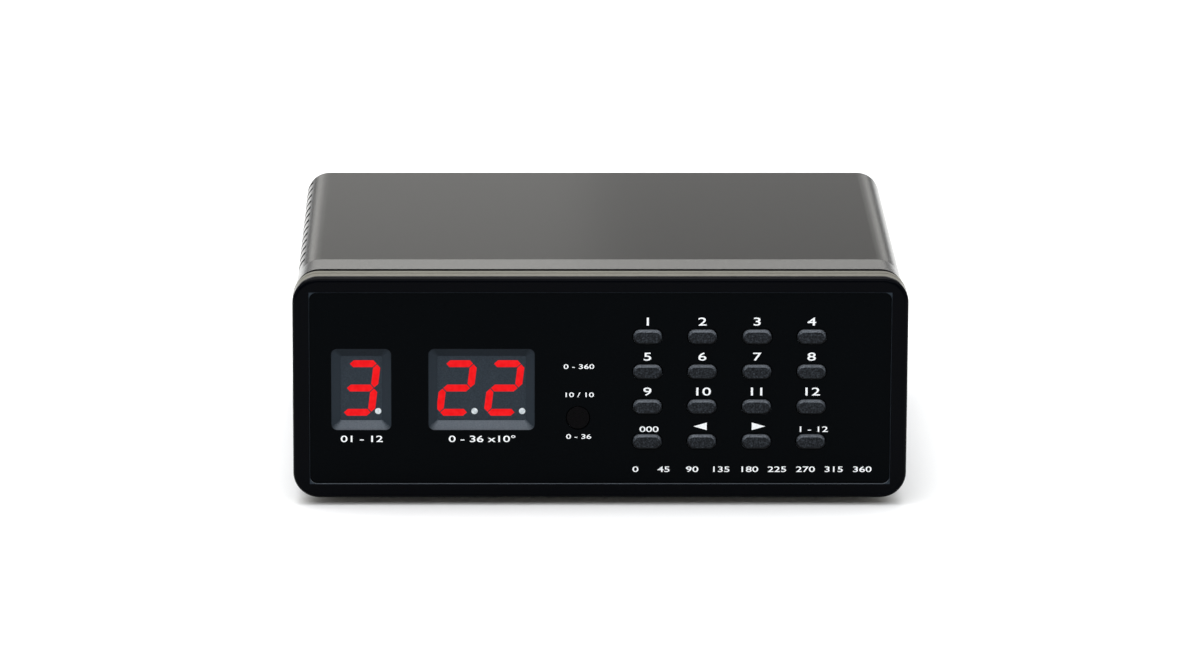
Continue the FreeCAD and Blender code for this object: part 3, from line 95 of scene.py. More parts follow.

# Colours that aren't settings
# Black of bare plastic, also used as painted shade in the cover's slots and along its front rim
BARE_PLASTIC_AND_SHADE = "#08090a"
FASCIA_DUST = "#181c20"
# The keys' grain from dark to pale: the pale end is mostly painted light on up-facing faces, and the dark end
# is also painted shade on down-facing ones
KEY_SHADE = "#090b0d"
KEY_RUBBED_AND_LIT = "#33383e"
KEY_PAINTED_LIGHT = "#6c7178"
SEGMENT_RESIN = "#0c0101"
SOLDER_MASK = "#0c3a1e"
SOLDER_MASK_PALE = "#0f4524"
COPPER_TRACK = "#1e6b3a"

# Stage, in metres: each light's place, its width and length, and the setting for its power
FLOOR_WIDE = 12.0
FLOOR_CELLS = 8
LIGHT_AIM = Vector((0, 0, 0.03))
LIGHTS = {
    "overhead": ((-0.1, 0.15, 1.2), (1.3, 1.1), "overhead_power"),
    "upper_front": ((0.1, -1.1, 1.0), (1.4, 0.4), "front_power"),
    "left_strip": ((-0.85, -0.15, 0.6), (0.25, 0.8), "side_power"),
    "right_strip": ((0.85, -0.15, 0.6), (0.25, 0.8), "side_power"),
    "rear_left_card": ((-0.27, 0.8, 0.27), (0.6, 0.2), "rear_power"),
}

# Surroundings by the height of the direction, 0 level and 1 straight up. From the photograph's camera
# the cover's flare mirrors the bright low band, and its level top the dark just above that band. Past
# ZENITH_FROM all grows brighter, up to ZENITH_GAIN times.
SKY_STOPS = [(0.0, "#5c5c5e"), (0.08, "#5c5c5e"), (0.1, "#ffffff"), (0.185, "#ffffff"),
             (0.21, "#464648"), (0.45, "#444446"), (0.66, "#c4c6c8")]
ZENITH_FROM = 0.42
ZENITH_FULL = 0.7
ZENITH_GAIN = 1.5

# Photograph's camera: focal length and image centre in pixels of the 1200 by 670 picture,
# looking level across and down by CAMERA_DOWN degrees, at CAMERA_BACK from the bezel.
PHOTO_WIDE = 1200
PHOTO_FOCAL = 6712
PHOTO_CENTRE_ACROSS = 489.4
CAMERA_DOWN = 14.26
CAMERA_ACROSS = -29.7 * MM
CAMERA_BACK = 1741.6 * MM
CAMERA_UP = 488.0 * MM
CAMERA_REACH = 50.0  # metres
FILM_WIDE = 36.0  # millimetres

# Sockets of a Mix node that mixes colours
MIX_FACTOR, MIX_FIRST, MIX_SECOND, MIX_OUT = 0, 6, 7, 2


def linear(code):
    """A linear colour from an sRGB hex code such as '#3a3a38'."""
    parts = [int(code[index:index + 2], 16) / 255 for index in (1, 3, 5)]
    return [part / 12.92 if part <= 0.04045 else ((part + 0.055) / 1.055) ** 2.4 for part in parts] + [1.0]


def rgba(colour):
    """A socket's colour, from an sRGB hex code or from a colour setting."""
    return linear(colour) if isinstance(colour, str) else [*colour, 1.0]


def per_metre(size_mm):
    """The scale of a pattern whose features are that many millimetres across."""
    return 1.0 / (size_mm * MM)


def add_node(tree, kind, settings=None, inputs=None, links=None, stops=None):
    """Add one node with its settings, socket values, incoming links and ramp stops."""
    node = tree.nodes.new(kind)
    for name, setting in (settings or {}).items():
        setattr(node, name, setting)
    for name, number in (inputs or {}).items():
        node.inputs[name].default_value = number
    for name, source in (links or {}).items():
        tree.links.new(source, node.inputs[name])
    for index, (position, colour) in enumerate(stops or []):
        elements = node.color_ramp.elements
        element = elements[index] if index < 2 else elements.new(position)
        element.position = position
        element.color = rgba(colour)
    return node


def new_material(name, colour, metallic=0.0, roughness=0.5, **sockets):
    """A material with one shader; its tree, its shader and object coordinates come back too."""
    material = bpy.data.materials.new(name)
    material.use_nodes = True
    tree = material.node_tree
    shader = tree.nodes["Principled BSDF"]
    shader.inputs["Base Color"].default_value = rgba(colour)
    shader.inputs["Metallic"].default_value = metallic
    shader.inputs["Roughness"].default_value = roughness
    for socket, number in sockets.items():
        shader.inputs[socket.replace("_", " ")].default_value = number
    place = add_node(tree, "ShaderNodeTexCoord").outputs["Object"]
    return material, tree, shader, place


def work_surface(tree, shader, pattern, stops, roughness, relief_mm, strength=1.0):
    """Let one pattern drive a shader's colour, its roughness between two values and its relief."""
    colour = add_node(tree, "ShaderNodeValToRGB", links={"Fac": pattern}, stops=stops)
    tree.links.new(colour.outputs["Color"], shader.inputs["Base Color"])
    rough = add_node(tree, "ShaderNodeMapRange", inputs={"To Min": roughness[0], "To Max": roughness[1]},
                     links={"Value": pattern})
    tree.links.new(rough.outputs["Result"], shader.inputs["Roughness"])
    relief = add_node(tree, "ShaderNodeBump", inputs={"Strength": strength, "Distance": relief_mm * MM},
                      links={"Height": pattern})
    tree.links.new(relief.outputs["Normal"], shader.inputs["Normal"])


def mixed(tree, shader, factor, first, second):
    """Give a shader's base a colour that changes from the first to the second with a factor."""
    mix = add_node(tree, "ShaderNodeMix", {"data_type": "RGBA"}, {MIX_SECOND: rgba(second)},
                   {MIX_FACTOR: factor, MIX_FIRST: first})
    tree.links.new(mix.outputs[MIX_OUT], shader.inputs["Base Color"])


def within_fascia(tree, place):
    """1 inside the fascia's outline and a little past it, 0 on the border round it."""
    middle = [(low + high) / 2 for low, high in zip(FASCIA_LOW, FASCIA_HIGH)]
    half = [(high - low) / 2 + RECESS_MARGIN for low, high in zip(FASCIA_LOW, FASCIA_HIGH)]
    moved = add_node(tree, "ShaderNodeVectorMath", {"operation": "SUBTRACT"}, {1: middle}, {0: place})
    folded = add_node(tree, "ShaderNodeVectorMath", {"operation": "ABSOLUTE"},
                      links={0: moved.outputs["Vector"]})
    parts = add_node(tree, "ShaderNodeSeparateXYZ", links={"Vector": folded.outputs["Vector"]})
    across = add_node(tree, "ShaderNodeMath", {"operation": "LESS_THAN"}, {1: half[0]},
                      {0: parts.outputs["X"]})
    up = add_node(tree, "ShaderNodeMath", {"operation": "LESS_THAN"}, {1: half[2]},
                  {0: parts.outputs["Z"]})
    both = add_node(tree, "ShaderNodeMath", {"operation": "MULTIPLY"},
                    links={0: across.outputs["Value"], 1: up.outputs["Value"]})
    return both.outputs["Value"]


def unpainted(tree, place):
    """1 where the lacquer stops: inside the shell and on the walls of its slots, black of bare plastic that
    is also painted shade in the slots, and on its front rim, where the black strip is painted shade of the
    gap there.

    The distance from the case's rounded section in XZ tells the outer skin from what lies within.
    """
    half_wide = (COVER_HIGH[0] - COVER_LOW[0]) / 2 - FLARE_SIDE
    low, top = BASE_LOW[2], COVER_HIGH[2] - FLARE_TOP
    centre = (0, 0, (low + top) / 2)
    flat_part = (half_wide - COVER_CORNER, 0, (top - low) / 2 - COVER_CORNER)
    moved = add_node(tree, "ShaderNodeVectorMath", {"operation": "SUBTRACT"}, {1: centre}, {0: place})
    flat = add_node(tree, "ShaderNodeVectorMath", {"operation": "MULTIPLY"}, {1: (1, 0, 1)},
                    {0: moved.outputs["Vector"]})
    folded = add_node(tree, "ShaderNodeVectorMath", {"operation": "ABSOLUTE"},
                      links={0: flat.outputs["Vector"]})
    past = add_node(tree, "ShaderNodeVectorMath", {"operation": "SUBTRACT"}, {1: flat_part},
                    {0: folded.outputs["Vector"]})
    outside = add_node(tree, "ShaderNodeVectorMath", {"operation": "MAXIMUM"}, {1: (0, 0, 0)},
                       {0: past.outputs["Vector"]})
    reach = add_node(tree, "ShaderNodeVectorMath", {"operation": "LENGTH"},
                     links={0: outside.outputs["Vector"]})
    parts = add_node(tree, "ShaderNodeSeparateXYZ", links={"Vector": past.outputs["Vector"]})
    larger = add_node(tree, "ShaderNodeMath", {"operation": "MAXIMUM"},
                      links={0: parts.outputs["X"], 1: parts.outputs["Z"]})
    sunk = add_node(tree, "ShaderNodeMath", {"operation": "MINIMUM"}, {1: 0.0}, {0: larger.outputs["Value"]})
    distance = add_node(tree, "ShaderNodeMath", {"operation": "ADD"},
                        links={0: reach.outputs["Value"], 1: sunk.outputs["Value"]})
    inner = add_node(tree, "ShaderNodeMath", {"operation": "LESS_THAN"}, {1: COVER_CORNER - PAINT_DEPTH},
                     {0: distance.outputs["Value"]})
    depth = add_node(tree, "ShaderNodeSeparateXYZ", links={"Vector": place}).outputs["Y"]
    rim = add_node(tree, "ShaderNodeMath", {"operation": "LESS_THAN"}, {1: COVER_LOW[1] + RIM_PAINTED_SHADE},
                   {0: depth})
    either = add_node(tree, "ShaderNodeMath", {"operation": "MAXIMUM"},
                      links={0: inner.outputs["Value"], 1: rim.outputs["Value"]})
    return either.outputs["Value"]


def moulded_plastic(name, colour, lighter, roughness, size_mm=0.5, relief_mm=0.01, **sockets):
    """Moulded thermoplastic: an even colour with the fine spark texture of its steel tool."""
    material, tree, shader, place = new_material(name, colour, 0.0, roughness, **sockets)
    spark = add_node(tree, "ShaderNodeTexNoise", inputs={"Scale": per_metre(size_mm), "Detail": 2.0},
                     links={"Vector": place}).outputs["Fac"]
    work_surface(tree, shader, spark, [(0.35, colour), (0.75, lighter)], (roughness - 0.06, roughness + 0.08),
                 relief_mm)
    return material


def worked_metal(name, colour, darker, roughness, direction=(1.0, 1.0, 1.0), size_mm=0.6):
    """Rolled, plated or extruded metal: fine lines that run along one way and stretch its highlights."""
    material, tree, shader, place = new_material(name, colour, 1.0, roughness)
    stretch = add_node(tree, "ShaderNodeMapping", inputs={"Scale": direction}, links={"Vector": place})
    lines = add_node(tree, "ShaderNodeTexNoise", inputs={"Scale": per_metre(size_mm), "Detail": 3.0},
                     links={"Vector": stretch.outputs["Vector"]}).outputs["Fac"]
    work_surface(tree, shader, lines, [(0.3, darker), (0.7, colour)], (roughness - 0.08, roughness + 0.1),
                 0.01, 0.4)
    return material


def dusted(tree, pattern, share):
    """A pattern raised where the surface faces up and lowered where it faces down: painted light on up-facing
    faces and painted shade on down-facing ones.
    """
    normal = add_node(tree, "ShaderNodeNewGeometry").outputs["Normal"]
    up = add_node(tree, "ShaderNodeSeparateXYZ", links={"Vector": normal}).outputs["Z"]
    return add_node(tree, "ShaderNodeMath", {"operation": "MULTIPLY_ADD", "use_clamp": True}, {1: share},
                    {0: up, 2: pattern}).outputs["Value"]


def satin_bezel():
    """Satin black ABS, polished on its border and spark-textured grey in its wells and key holes, with
    painted light on their up-facing slopes and painted shade on their down-facing ones.
    """
    finish = bpy.context.scene.finish_settings
    material, tree, shader, place = new_material("satin_black_abs", finish.bezel_colour, 0.0, 0.18,
                                                 Specular_IOR_Level=0.03)
    inner = within_fascia(tree, place)
    spark = add_node(tree, "ShaderNodeTexNoise", inputs={"Scale": per_metre(0.35), "Detail": 3.0},
                     links={"Vector": place}).outputs["Fac"]
    calm = add_node(tree, "ShaderNodeMapRange", inputs={"To Min": 0.42, "To Max": 0.58},
                    links={"Value": spark})
    # the wells' grain is lifted on up-facing slopes and lowered on down-facing ones: painted light and
    # painted shade
    well = add_node(tree, "ShaderNodeValToRGB", links={"Fac": dusted(tree, calm.outputs["Result"], 0.6)},
                    stops=[(0.15, finish.well_dark), (0.4, finish.well_colour), (0.6, finish.well_colour),
                           (0.85, finish.well_pale)])
    border = add_node(tree, "ShaderNodeMath", {"operation": "SUBTRACT"}, {0: 1.0}, {1: inner})
    mixed(tree, shader, border.outputs["Value"], well.outputs["Color"], finish.bezel_colour)
    rough = add_node(tree, "ShaderNodeMapRange", inputs={"To Min": 0.16, "To Max": 0.4},
                     links={"Value": inner})
    tree.links.new(rough.outputs["Result"], shader.inputs["Roughness"])
    height = add_node(tree, "ShaderNodeMath", {"operation": "MULTIPLY"}, links={0: spark, 1: inner})
    relief = add_node(tree, "ShaderNodeBump", inputs={"Strength": 0.6, "Distance": 0.015 * MM},
                      links={"Height": height.outputs["Value"]})
    tree.links.new(relief.outputs["Normal"], shader.inputs["Normal"])
    return material


def pewter_lacquer():
    """Sprayed metallic lacquer over black ABS: tiny flakes in a satin coat with a soft orange peel.

    The flakes are drawn at 0.25 mm, coarser than real ones, so that they show. Where the lacquer stops,
    the plastic is dull and black; the black strip along the cover's front edge is painted shade of the gap
    there, and the black walls of the slots are partly painted shade.
    """
    finish = bpy.context.scene.finish_settings
    material, tree, shader, place = new_material("pewter_lacquer", finish.cover_colour, 1.0, 0.2,
                                                 Specular_IOR_Level=0.02)
    flakes = add_node(tree, "ShaderNodeTexVoronoi", inputs={"Scale": per_metre(0.25)},
                      links={"Vector": place})
    flecked = add_node(tree, "ShaderNodeValToRGB", links={"Fac": flakes.outputs["Color"]},
                       stops=[(0.1, finish.cover_dark), (0.9, finish.cover_colour)])
    # bare black plastic inside the shell, also painted shade on the slot walls and along the front rim
    bare_and_shade = unpainted(tree, place)
    mixed(tree, shader, bare_and_shade, flecked.outputs["Color"], BARE_PLASTIC_AND_SHADE)
    metal = add_node(tree, "ShaderNodeMapRange", inputs={"To Min": 1.0, "To Max": 0.0}, links={"Value": bare_and_shade})
    tree.links.new(metal.outputs["Result"], shader.inputs["Metallic"])
    peel = add_node(tree, "ShaderNodeTexNoise", inputs={"Scale": per_metre(1.2), "Detail": 1.0},
                    links={"Vector": place}).outputs["Fac"]
    rough = add_node(tree, "ShaderNodeMapRange", inputs={"To Min": 0.18, "To Max": 0.22},
                     links={"Value": peel})
    dull = add_node(tree, "ShaderNodeMath", {"operation": "MULTIPLY_ADD"}, {1: 0.7},
                    {0: bare_and_shade, 2: rough.outputs["Result"]})
    tree.links.new(dull.outputs["Value"], shader.inputs["Roughness"])
    relief = add_node(tree, "ShaderNodeBump", inputs={"Distance": 0.004 * MM}, links={"Height": peel})
    tree.links.new(relief.outputs["Normal"], shader.inputs["Normal"])
    return material


def silver_lacquer():
    """The trim ring's paler metallic lacquer, which catches more light than the cover."""
    finish = bpy.context.scene.finish_settings
    material, tree, shader, place = new_material("silver_lacquer", finish.trim_colour, 0.7, 0.34)
    peel = add_node(tree, "ShaderNodeTexNoise", inputs={"Scale": per_metre(0.8), "Detail": 2.0},
                    links={"Vector": place}).outputs["Fac"]
    work_surface(tree, shader, peel, [(0.3, finish.trim_dark), (0.8, finish.trim_colour)], (0.3, 0.38), 0.004)
    return material


def gloss_fascia():
    """Screen-printed polycarbonate: deep black with hardly any reflection and a few specks of dust."""
    finish = bpy.context.scene.finish_settings
    material, tree, shader, place = new_material("gloss_black_polycarbonate", finish.fascia_colour, 0.0, 0.14,
                                                 Specular_IOR_Level=0.02)
    specks = add_node(tree, "ShaderNodeTexVoronoi", inputs={"Scale": per_metre(3.5)}, links={"Vector": place})
    dust = add_node(tree, "ShaderNodeMapRange", inputs={"From Max": 0.03, "To Min": 1.0, "To Max": 0.0},
                    links={"Value": specks.outputs["Distance"]})
    dusty = add_node(tree, "ShaderNodeValToRGB", links={"Fac": dust.outputs["Result"]},
                     stops=[(0.0, finish.fascia_colour), (1.0, FASCIA_DUST)])
    tree.links.new(dusty.outputs["Color"], shader.inputs["Base Color"])
    haze = add_node(tree, "ShaderNodeTexNoise", inputs={"Scale": per_metre(14.0), "Detail": 3.0},
                    links={"Vector": place}).outputs["Fac"]
    rough = add_node(tree, "ShaderNodeMapRange", inputs={"To Min": 0.1, "To Max": 0.18},
                     links={"Value": haze})
    tree.links.new(rough.outputs["Result"], shader.inputs["Roughness"])
    return material


def silicone_rubber():
    """Moulded silicone rubber: grey black with a coarse grain, with painted light where it faces up and
    painted shade where it faces down.
    """
    finish = bpy.context.scene.finish_settings
    material, tree, shader, place = new_material("silicone_rubber", finish.key_colour, 0.0, 0.6,
                                                 Specular_IOR_Level=0.1)
    rubbed = add_node(tree, "ShaderNodeTexNoise",
                      inputs={"Scale": per_metre(0.45), "Detail": 4.0, "Roughness": 0.65},
                      links={"Vector": place}).outputs["Fac"]
    stops = [(0.34, KEY_SHADE), (0.48, finish.key_colour), (0.66, KEY_RUBBED_AND_LIT), (0.95, KEY_PAINTED_LIGHT)]
    # the grain is lifted where the keys face up and lowered where they face down: painted light and painted
    # shade
    work_surface(tree, shader, dusted(tree, rubbed, 0.5), stops, (0.55, 0.7), 0.06)
    return material


def lit_segment():
    """Light-diffusing resin with a lamp behind it: an even red glow, a little deeper in places."""
    finish = bpy.context.scene.finish_settings
    material, tree, shader, place = new_material("glowing_red_resin", SEGMENT_RESIN, 0.0, 0.4,
                                                 Specular_IOR_Level=0.02)
    cloud = add_node(tree, "ShaderNodeTexNoise", inputs={"Scale": per_metre(1.6), "Detail": 1.0},
                     links={"Vector": place}).outputs["Fac"]
    glow = add_node(tree, "ShaderNodeValToRGB", links={"Fac": cloud},
                    stops=[(0.3, finish.lit_deep), (0.7, finish.lit_colour)])
    tree.links.new(glow.outputs["Color"], shader.inputs["Emission Color"])
    shader.inputs["Emission Strength"].default_value = finish.lit_strength
    return material


def circuit_board():
    """Glass-epoxy board under green solder mask, with paler copper tracks beneath it."""
    material, tree, shader, place = new_material("green_solder_mask", SOLDER_MASK, 0.0, 0.3)
    tracks = add_node(tree, "ShaderNodeTexBrick",
                      inputs={"Scale": per_metre(6.0), "Color1": linear(SOLDER_MASK),
                              "Color2": linear(SOLDER_MASK_PALE), "Mortar": linear(COPPER_TRACK),
                              "Mortar Size": 0.04},
                      links={"Vector": place})
    tree.links.new(tracks.outputs["Color"], shader.inputs["Base Color"])
    relief = add_node(tree, "ShaderNodeBump", inputs={"Strength": 0.5, "Distance": 0.03 * MM},
                      links={"Height": tracks.outputs["Fac"]})
    tree.links.new(relief.outputs["Normal"], shader.inputs["Normal"])
    return material


def banded(name, axis, pitch_mm, dark, light, roughness, relief_mm, metallic=0.0):
    """Turns, laminations or wires laid side by side at one pitch: dark grooves between pale crowns.

    A wave texture of scale 1 repeats every pi / 10.
    """
    material, tree, shader, place = new_material(name, light, metallic, roughness)
    bands = add_node(tree, "ShaderNodeTexWave", {"bands_direction": axis},
                     {"Scale": per_metre(pitch_mm) * math.pi / 10, "Distortion": 0.4, "Detail": 2.0},
                     {"Vector": place}).outputs["Fac"]
    work_surface(tree, shader, bands, [(0.15, dark), (0.6, light)], (roughness - 0.05, roughness + 0.05),
                 relief_mm, 0.6)
    return material


def node_materials():
    """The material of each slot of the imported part."""
    return {
        # The front and the cover, each with a finish of its own
        "bezel": satin_bezel(),
        "fascia": gloss_fascia(),
        "trim": silver_lacquer(),
        "cover": pewter_lacquer(),
        # Moulded ABS with a coarse spark texture: a flat black that shows no clear reflection
        "base": moulded_plastic("textured_black_abs", "#141517", "#1e1f21", 0.55, 0.7, 0.04),
        "panel": moulded_plastic("textured_panel_abs", "#101113", "#191a1c", 0.55, 0.6, 0.03),
        # Cast resin: even greys, and milky white for the points, so that the lit segments stand out
        "display_body": moulded_plastic("display_face_resin", "#2d343b", "#353d45", 0.45, 0.3, 0.006,
                                        Specular_IOR_Level=0.03),
        "segment_lit": lit_segment(),
        "segment_unlit": moulded_plastic("unlit_resin", "#2e353c", "#363e46", 0.4, 0.4, 0.003,
                                         Specular_IOR_Level=0.03),
        "decimal_point": moulded_plastic("milky_white_resin", "#b4bec4", "#e6edf0", 0.35, 0.9, 0.01),
        "key_rubber": silicone_rubber(),
        # Dyed acrylic with a polished face: so dark that it looks like a hole in the fascia
        "sensor_lens": moulded_plastic("dark_red_acrylic", "#020203", "#060406", 0.12, 0.5, 0.002,
                                       Specular_IOR_Level=0.03),
        # Moulded epoxy: dull grey black
        "black_epoxy": moulded_plastic("black_epoxy", "#141414", "#1e1e1e", 0.5, 0.4, 0.02),
        "circuit_board": circuit_board(),
        # Plated steel: pale and fairly sharp in its highlights
        "screw_steel": worked_metal("zinc_plated_steel", "#b9bbbb", "#8f9292", 0.32),
        # Moulded rubber: the dullest black of all
        "foot_rubber": moulded_plastic("black_foot_rubber", "#0e0e0e", "#171717", 0.8, 0.5, 0.05),
        # Stacked laminations under varnish, and wound tape: fine brown lines, and wide yellow turns
        "core_steel": banded("varnished_lamination_steel", "Y", 0.7, "#2c2a27", "#5a5650", 0.5, 0.05, 0.9),
        "coil_tape": banded("yellow_polyester_tape", "Z", 6.0, "#8a6412", "#c2942a", 0.3, 0.05),
        # Rolled steel: grey, with softer highlights than the plated screws
        "bracket_steel": worked_metal("rolled_strap_steel", "#a8aaab", "#7e8182", 0.38),
        # Moulded polyester and shrunk vinyl: smooth and a little glossy
        "relay_case": moulded_plastic("blue_relay_pbt", "#123a7a", "#1a4690", 0.35, 0.6, 0.01),
        "capacitor_sleeve": moulded_plastic("shrunk_sleeve_vinyl", "#101218", "#191c24", 0.25, 1.5, 0.02),
        # Nickel plate and thinly tinned brass: bright, one grey and one yellow
        "fuse_glass": worked_metal("nickel_plated_cap", "#c4c2bc", "#9c9a94", 0.25),
        "clip_brass": worked_metal("tinned_brass", "#c8b77a", "#9c8c58", 0.3),
        # Extruded and anodised aluminium: dark, with lines along its height
        "sink_aluminium": worked_metal("black_anodised_aluminium", "#26272a", "#18191b", 0.45,
                                       (8.0, 8.0, 0.4)),
        # Vinyl over parallel wires: one grey crown to each wire
        "ribbon_plastic": banded("grey_ribbon_vinyl", "X", 1.27, "#6a6d70", "#9a9da0", 0.45, 0.2),
        # Moulded nylon and phenolic: even and half matt
        "header_plastic": moulded_plastic("ivory_nylon", "#cfc8b0", "#ddd7c2", 0.5, 0.5, 0.01),
        "terminal_plastic": moulded_plastic("black_phenolic", "#0b0b0c", "#141416", 0.35, 0.6, 0.02),
        "gland_plastic": moulded_plastic("black_nylon", "#0d0d0e", "#151517", 0.45, 0.6, 0.02),
    }


def white_ink():
    """Opaque white screen ink with a slightly uneven film, one material for all the printing."""
    return bpy.data.materials.get("white_screen_ink") or moulded_plastic(
        "white_screen_ink", "#f2f7fa", "#ffffff", 0.5, 0.25, 0.003)


class FinishSettings(bpy.types.PropertyGroup):
    """Colours of the finishes that show from outside."""
    cover_colour: bpy.props.FloatVectorProperty(
        name="Cover", description="Paler flakes of the cover's lacquer", default=linear("#7f7d76")[:3],
        subtype="COLOR", size=3)
    cover_dark: bpy.props.FloatVectorProperty(
        name="Cover, dark", description="Darker flakes of the cover's lacquer", default=linear("#6c6a64")[:3],
        subtype="COLOR", size=3)
    trim_colour: bpy.props.FloatVectorProperty(
        name="Trim ring", description="Lacquer of the trim ring", default=linear("#a29f92")[:3],
        subtype="COLOR", size=3)
    trim_dark: bpy.props.FloatVectorProperty(
        name="Trim ring, dark", description="Shaded lacquer of the trim ring", default=linear("#8e8b7f")[:3],
        subtype="COLOR", size=3)
    bezel_colour: bpy.props.FloatVectorProperty(
        name="Bezel", description="Border of the front moulding", default=linear("#020306")[:3],
        subtype="COLOR", size=3)
    well_colour: bpy.props.FloatVectorProperty(
        name="Wells", description="Sloped wells round the displays", default=linear("#2a3138")[:3],
        subtype="COLOR", size=3)
    # Painted shade: the colour of the wells' down-facing slopes
    well_dark: bpy.props.FloatVectorProperty(
        name="Wells, dark", description="Upper slopes of the wells, which face down",
        default=linear("#181d22")[:3], subtype="COLOR", size=3)
    # Painted light: the colour of the wells' up-facing slopes and of the recess's ledge
    well_pale: bpy.props.FloatVectorProperty(
        name="Wells, pale", description="Lower slopes of the wells, which face up",
        default=linear("#6d747c")[:3], subtype="COLOR", size=3)
    fascia_colour: bpy.props.FloatVectorProperty(
        name="Fascia", description="Gloss sheet of the front", default=linear("#020406")[:3],
        subtype="COLOR", size=3)
    key_colour: bpy.props.FloatVectorProperty(
        name="Keys", description="Rubber of the keys", default=linear("#181b1f")[:3], subtype="COLOR", size=3)
    lit_colour: bpy.props.FloatVectorProperty(
        name="Lit segments", description="Glow of the lit segments", default=linear("#ff2126")[:3],
        subtype="COLOR", size=3)
    lit_deep: bpy.props.FloatVectorProperty(
        name="Lit segments, deep", description="Deeper parts of the glow", default=linear("#f2161c")[:3],
        subtype="COLOR", size=3)
    lit_strength: bpy.props.FloatProperty(
        name="Glow", description="Strength of the segments' glow", default=0.95, min=0.0)


class PrintSettings(bpy.types.PropertyGroup):
    """Sizes of the printing on the fascia."""
    number_height: bpy.props.FloatProperty(
        name="Key numbers", description="Height of the numbers over the keys", default=2.5 * MM,
        subtype="DISTANCE", unit="LENGTH")
    range_height: bpy.props.FloatProperty(
        name="Ranges", description="Height of the ranges under the displays", default=2.0 * MM,
        subtype="DISTANCE", unit="LENGTH")
    small_height: bpy.props.FloatProperty(
        name="Small figures", description="Height of the figures over the end keys and of the scale",
        default=1.75 * MM, subtype="DISTANCE", unit="LENGTH")
    fine_height: bpy.props.FloatProperty(
        name="Fine figures", description="Height of the figures round the sensor", default=1.45 * MM,
        subtype="DISTANCE", unit="LENGTH")
    widening: bpy.props.FloatProperty(
        name="Widening", description="How much wider than usual the figures are", default=1.6,
        soft_min=0.5, soft_max=3.0, subtype="FACTOR")
    weight: bpy.props.FloatProperty(
        name="Weight", description="How far the strokes are fattened, as a share of the figure size",
        default=0.008, soft_min=0.0, soft_max=0.05, subtype="FACTOR")
    ink_thick: bpy.props.FloatProperty(
        name="Ink film", description="Thickness of the ink over the fascia", default=0.03 * MM,
        subtype="DISTANCE", unit="LENGTH")
    label_gap: bpy.props.FloatProperty(
        name="Number gap", description="Space from a key's top to its number", default=1.2 * MM,
        subtype="DISTANCE", unit="LENGTH")


class StudioSettings(bpy.types.PropertyGroup):
    """The floor and the lights."""
    floor_colour: bpy.props.FloatVectorProperty(
        name="Floor", description="Colour of the pale floor", default=linear("#f4f4f4")[:3], subtype="COLOR",
        size=3)
    overhead_power: bpy.props.FloatProperty(
        name="Overhead", description="Power of the large light overhead", default=17.0, subtype="POWER")
    front_power: bpy.props.FloatProperty(
        name="Front", description="Power of the light from the upper front", default=4.0, subtype="POWER")
    side_power: bpy.props.FloatProperty(
        name="Sides", description="Power of each strip beside the object", default=1.5, subtype="POWER")
    rear_power: bpy.props.FloatProperty(
        name="Rear", description="Power of the low card behind the left half", default=0.045, subtype="POWER")
    sky_strength: bpy.props.FloatProperty(
        name="Surroundings", description="Brightness of the surroundings", default=1.0)


def only_select(item):
    """Deselect everything, then select and activate one object."""
    bpy.ops.object.select_all(action="DESELECT")
    item.select_set(True)
    bpy.context.view_layer.objects.active = item


def settle(item):
    """Put an object's place into its mesh."""
    only_select(item)
    bpy.ops.object.transform_apply(location=True, rotation=True, scale=True)


def dress(item, name, material, body=CASE):
    """Name a finished piece, give it its material and let it ride on its body."""
    item.name = name
    item.data.materials.clear()
    item.data.materials.append(material)
    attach(item, body)


def on_fascia(x_mm, z_mm):
    """A place on the front of the fascia, from millimetres across and up from the bezel's underside."""
    return x_mm * MM, FASCIA_LOW[1], BEZEL_LOW[2] + z_mm * MM


def printed_figures(words, height, place):
    """Wide bold figures centred over a place of the fascia, as a thin mesh."""
    settings = bpy.context.scene.print_settings
    bpy.ops.object.select_all(action="DESELECT")
    bpy.ops.object.text_add(location=place, rotation=UPRIGHT)
    item = bpy.context.object
    item.data.body = words
    item.data.align_x = "CENTER"
    item.data.size = height / FIGURE_SHARE
    item.data.offset = settings.weight * item.data.size
    item.data.extrude = settings.ink_thick
    item.data.resolution_u = FIGURE_STEPS
    item.scale = (settings.widening, 1, 1)
    bpy.ops.object.convert(target="MESH")
    item = bpy.context.object
    settle(item)
    return item


def printed_arrow(tip, side):
    """A solid arrow head whose tip points to the left (-1) or to the right (1)."""
    settings = bpy.context.scene.print_settings
    bpy.ops.object.select_all(action="DESELECT")
    bpy.ops.mesh.primitive_circle_add(vertices=3, radius=1.0, fill_type="NGON", location=(0, 0, 0),
                                      rotation=(0, 0, -side * math.pi / 2))
    item = bpy.context.object
    settle(item)
    long = ARROW_LENGTH / TRIANGLE_LONG
    high = ARROW_HEIGHT / TRIANGLE_HIGH
    item.scale = (long * MM, high * MM, 1)
    settle(item)
    bpy.ops.object.mode_set(mode="EDIT")
    bpy.ops.mesh.select_all(action="SELECT")
    bpy.ops.mesh.extrude_region_move(TRANSFORM_OT_translate={"value": (0, 0, settings.ink_thick)})
    bpy.ops.mesh.select_all(action="SELECT")
    bpy.ops.mesh.normals_make_consistent(inside=False)
    bpy.ops.object.mode_set(mode="OBJECT")
    item.rotation_euler = UPRIGHT
    item.location = on_fascia(tip - side * long, ARROW_MIDDLE_Z)
    settle(item)
    return item


def joined(items):
    """Join meshes into the first."""
    bpy.ops.object.select_all(action="DESELECT")
    for item in items:
        item.select_set(True)
    bpy.context.view_layer.objects.active = items[0]
    bpy.ops.object.join()
    return bpy.context.object


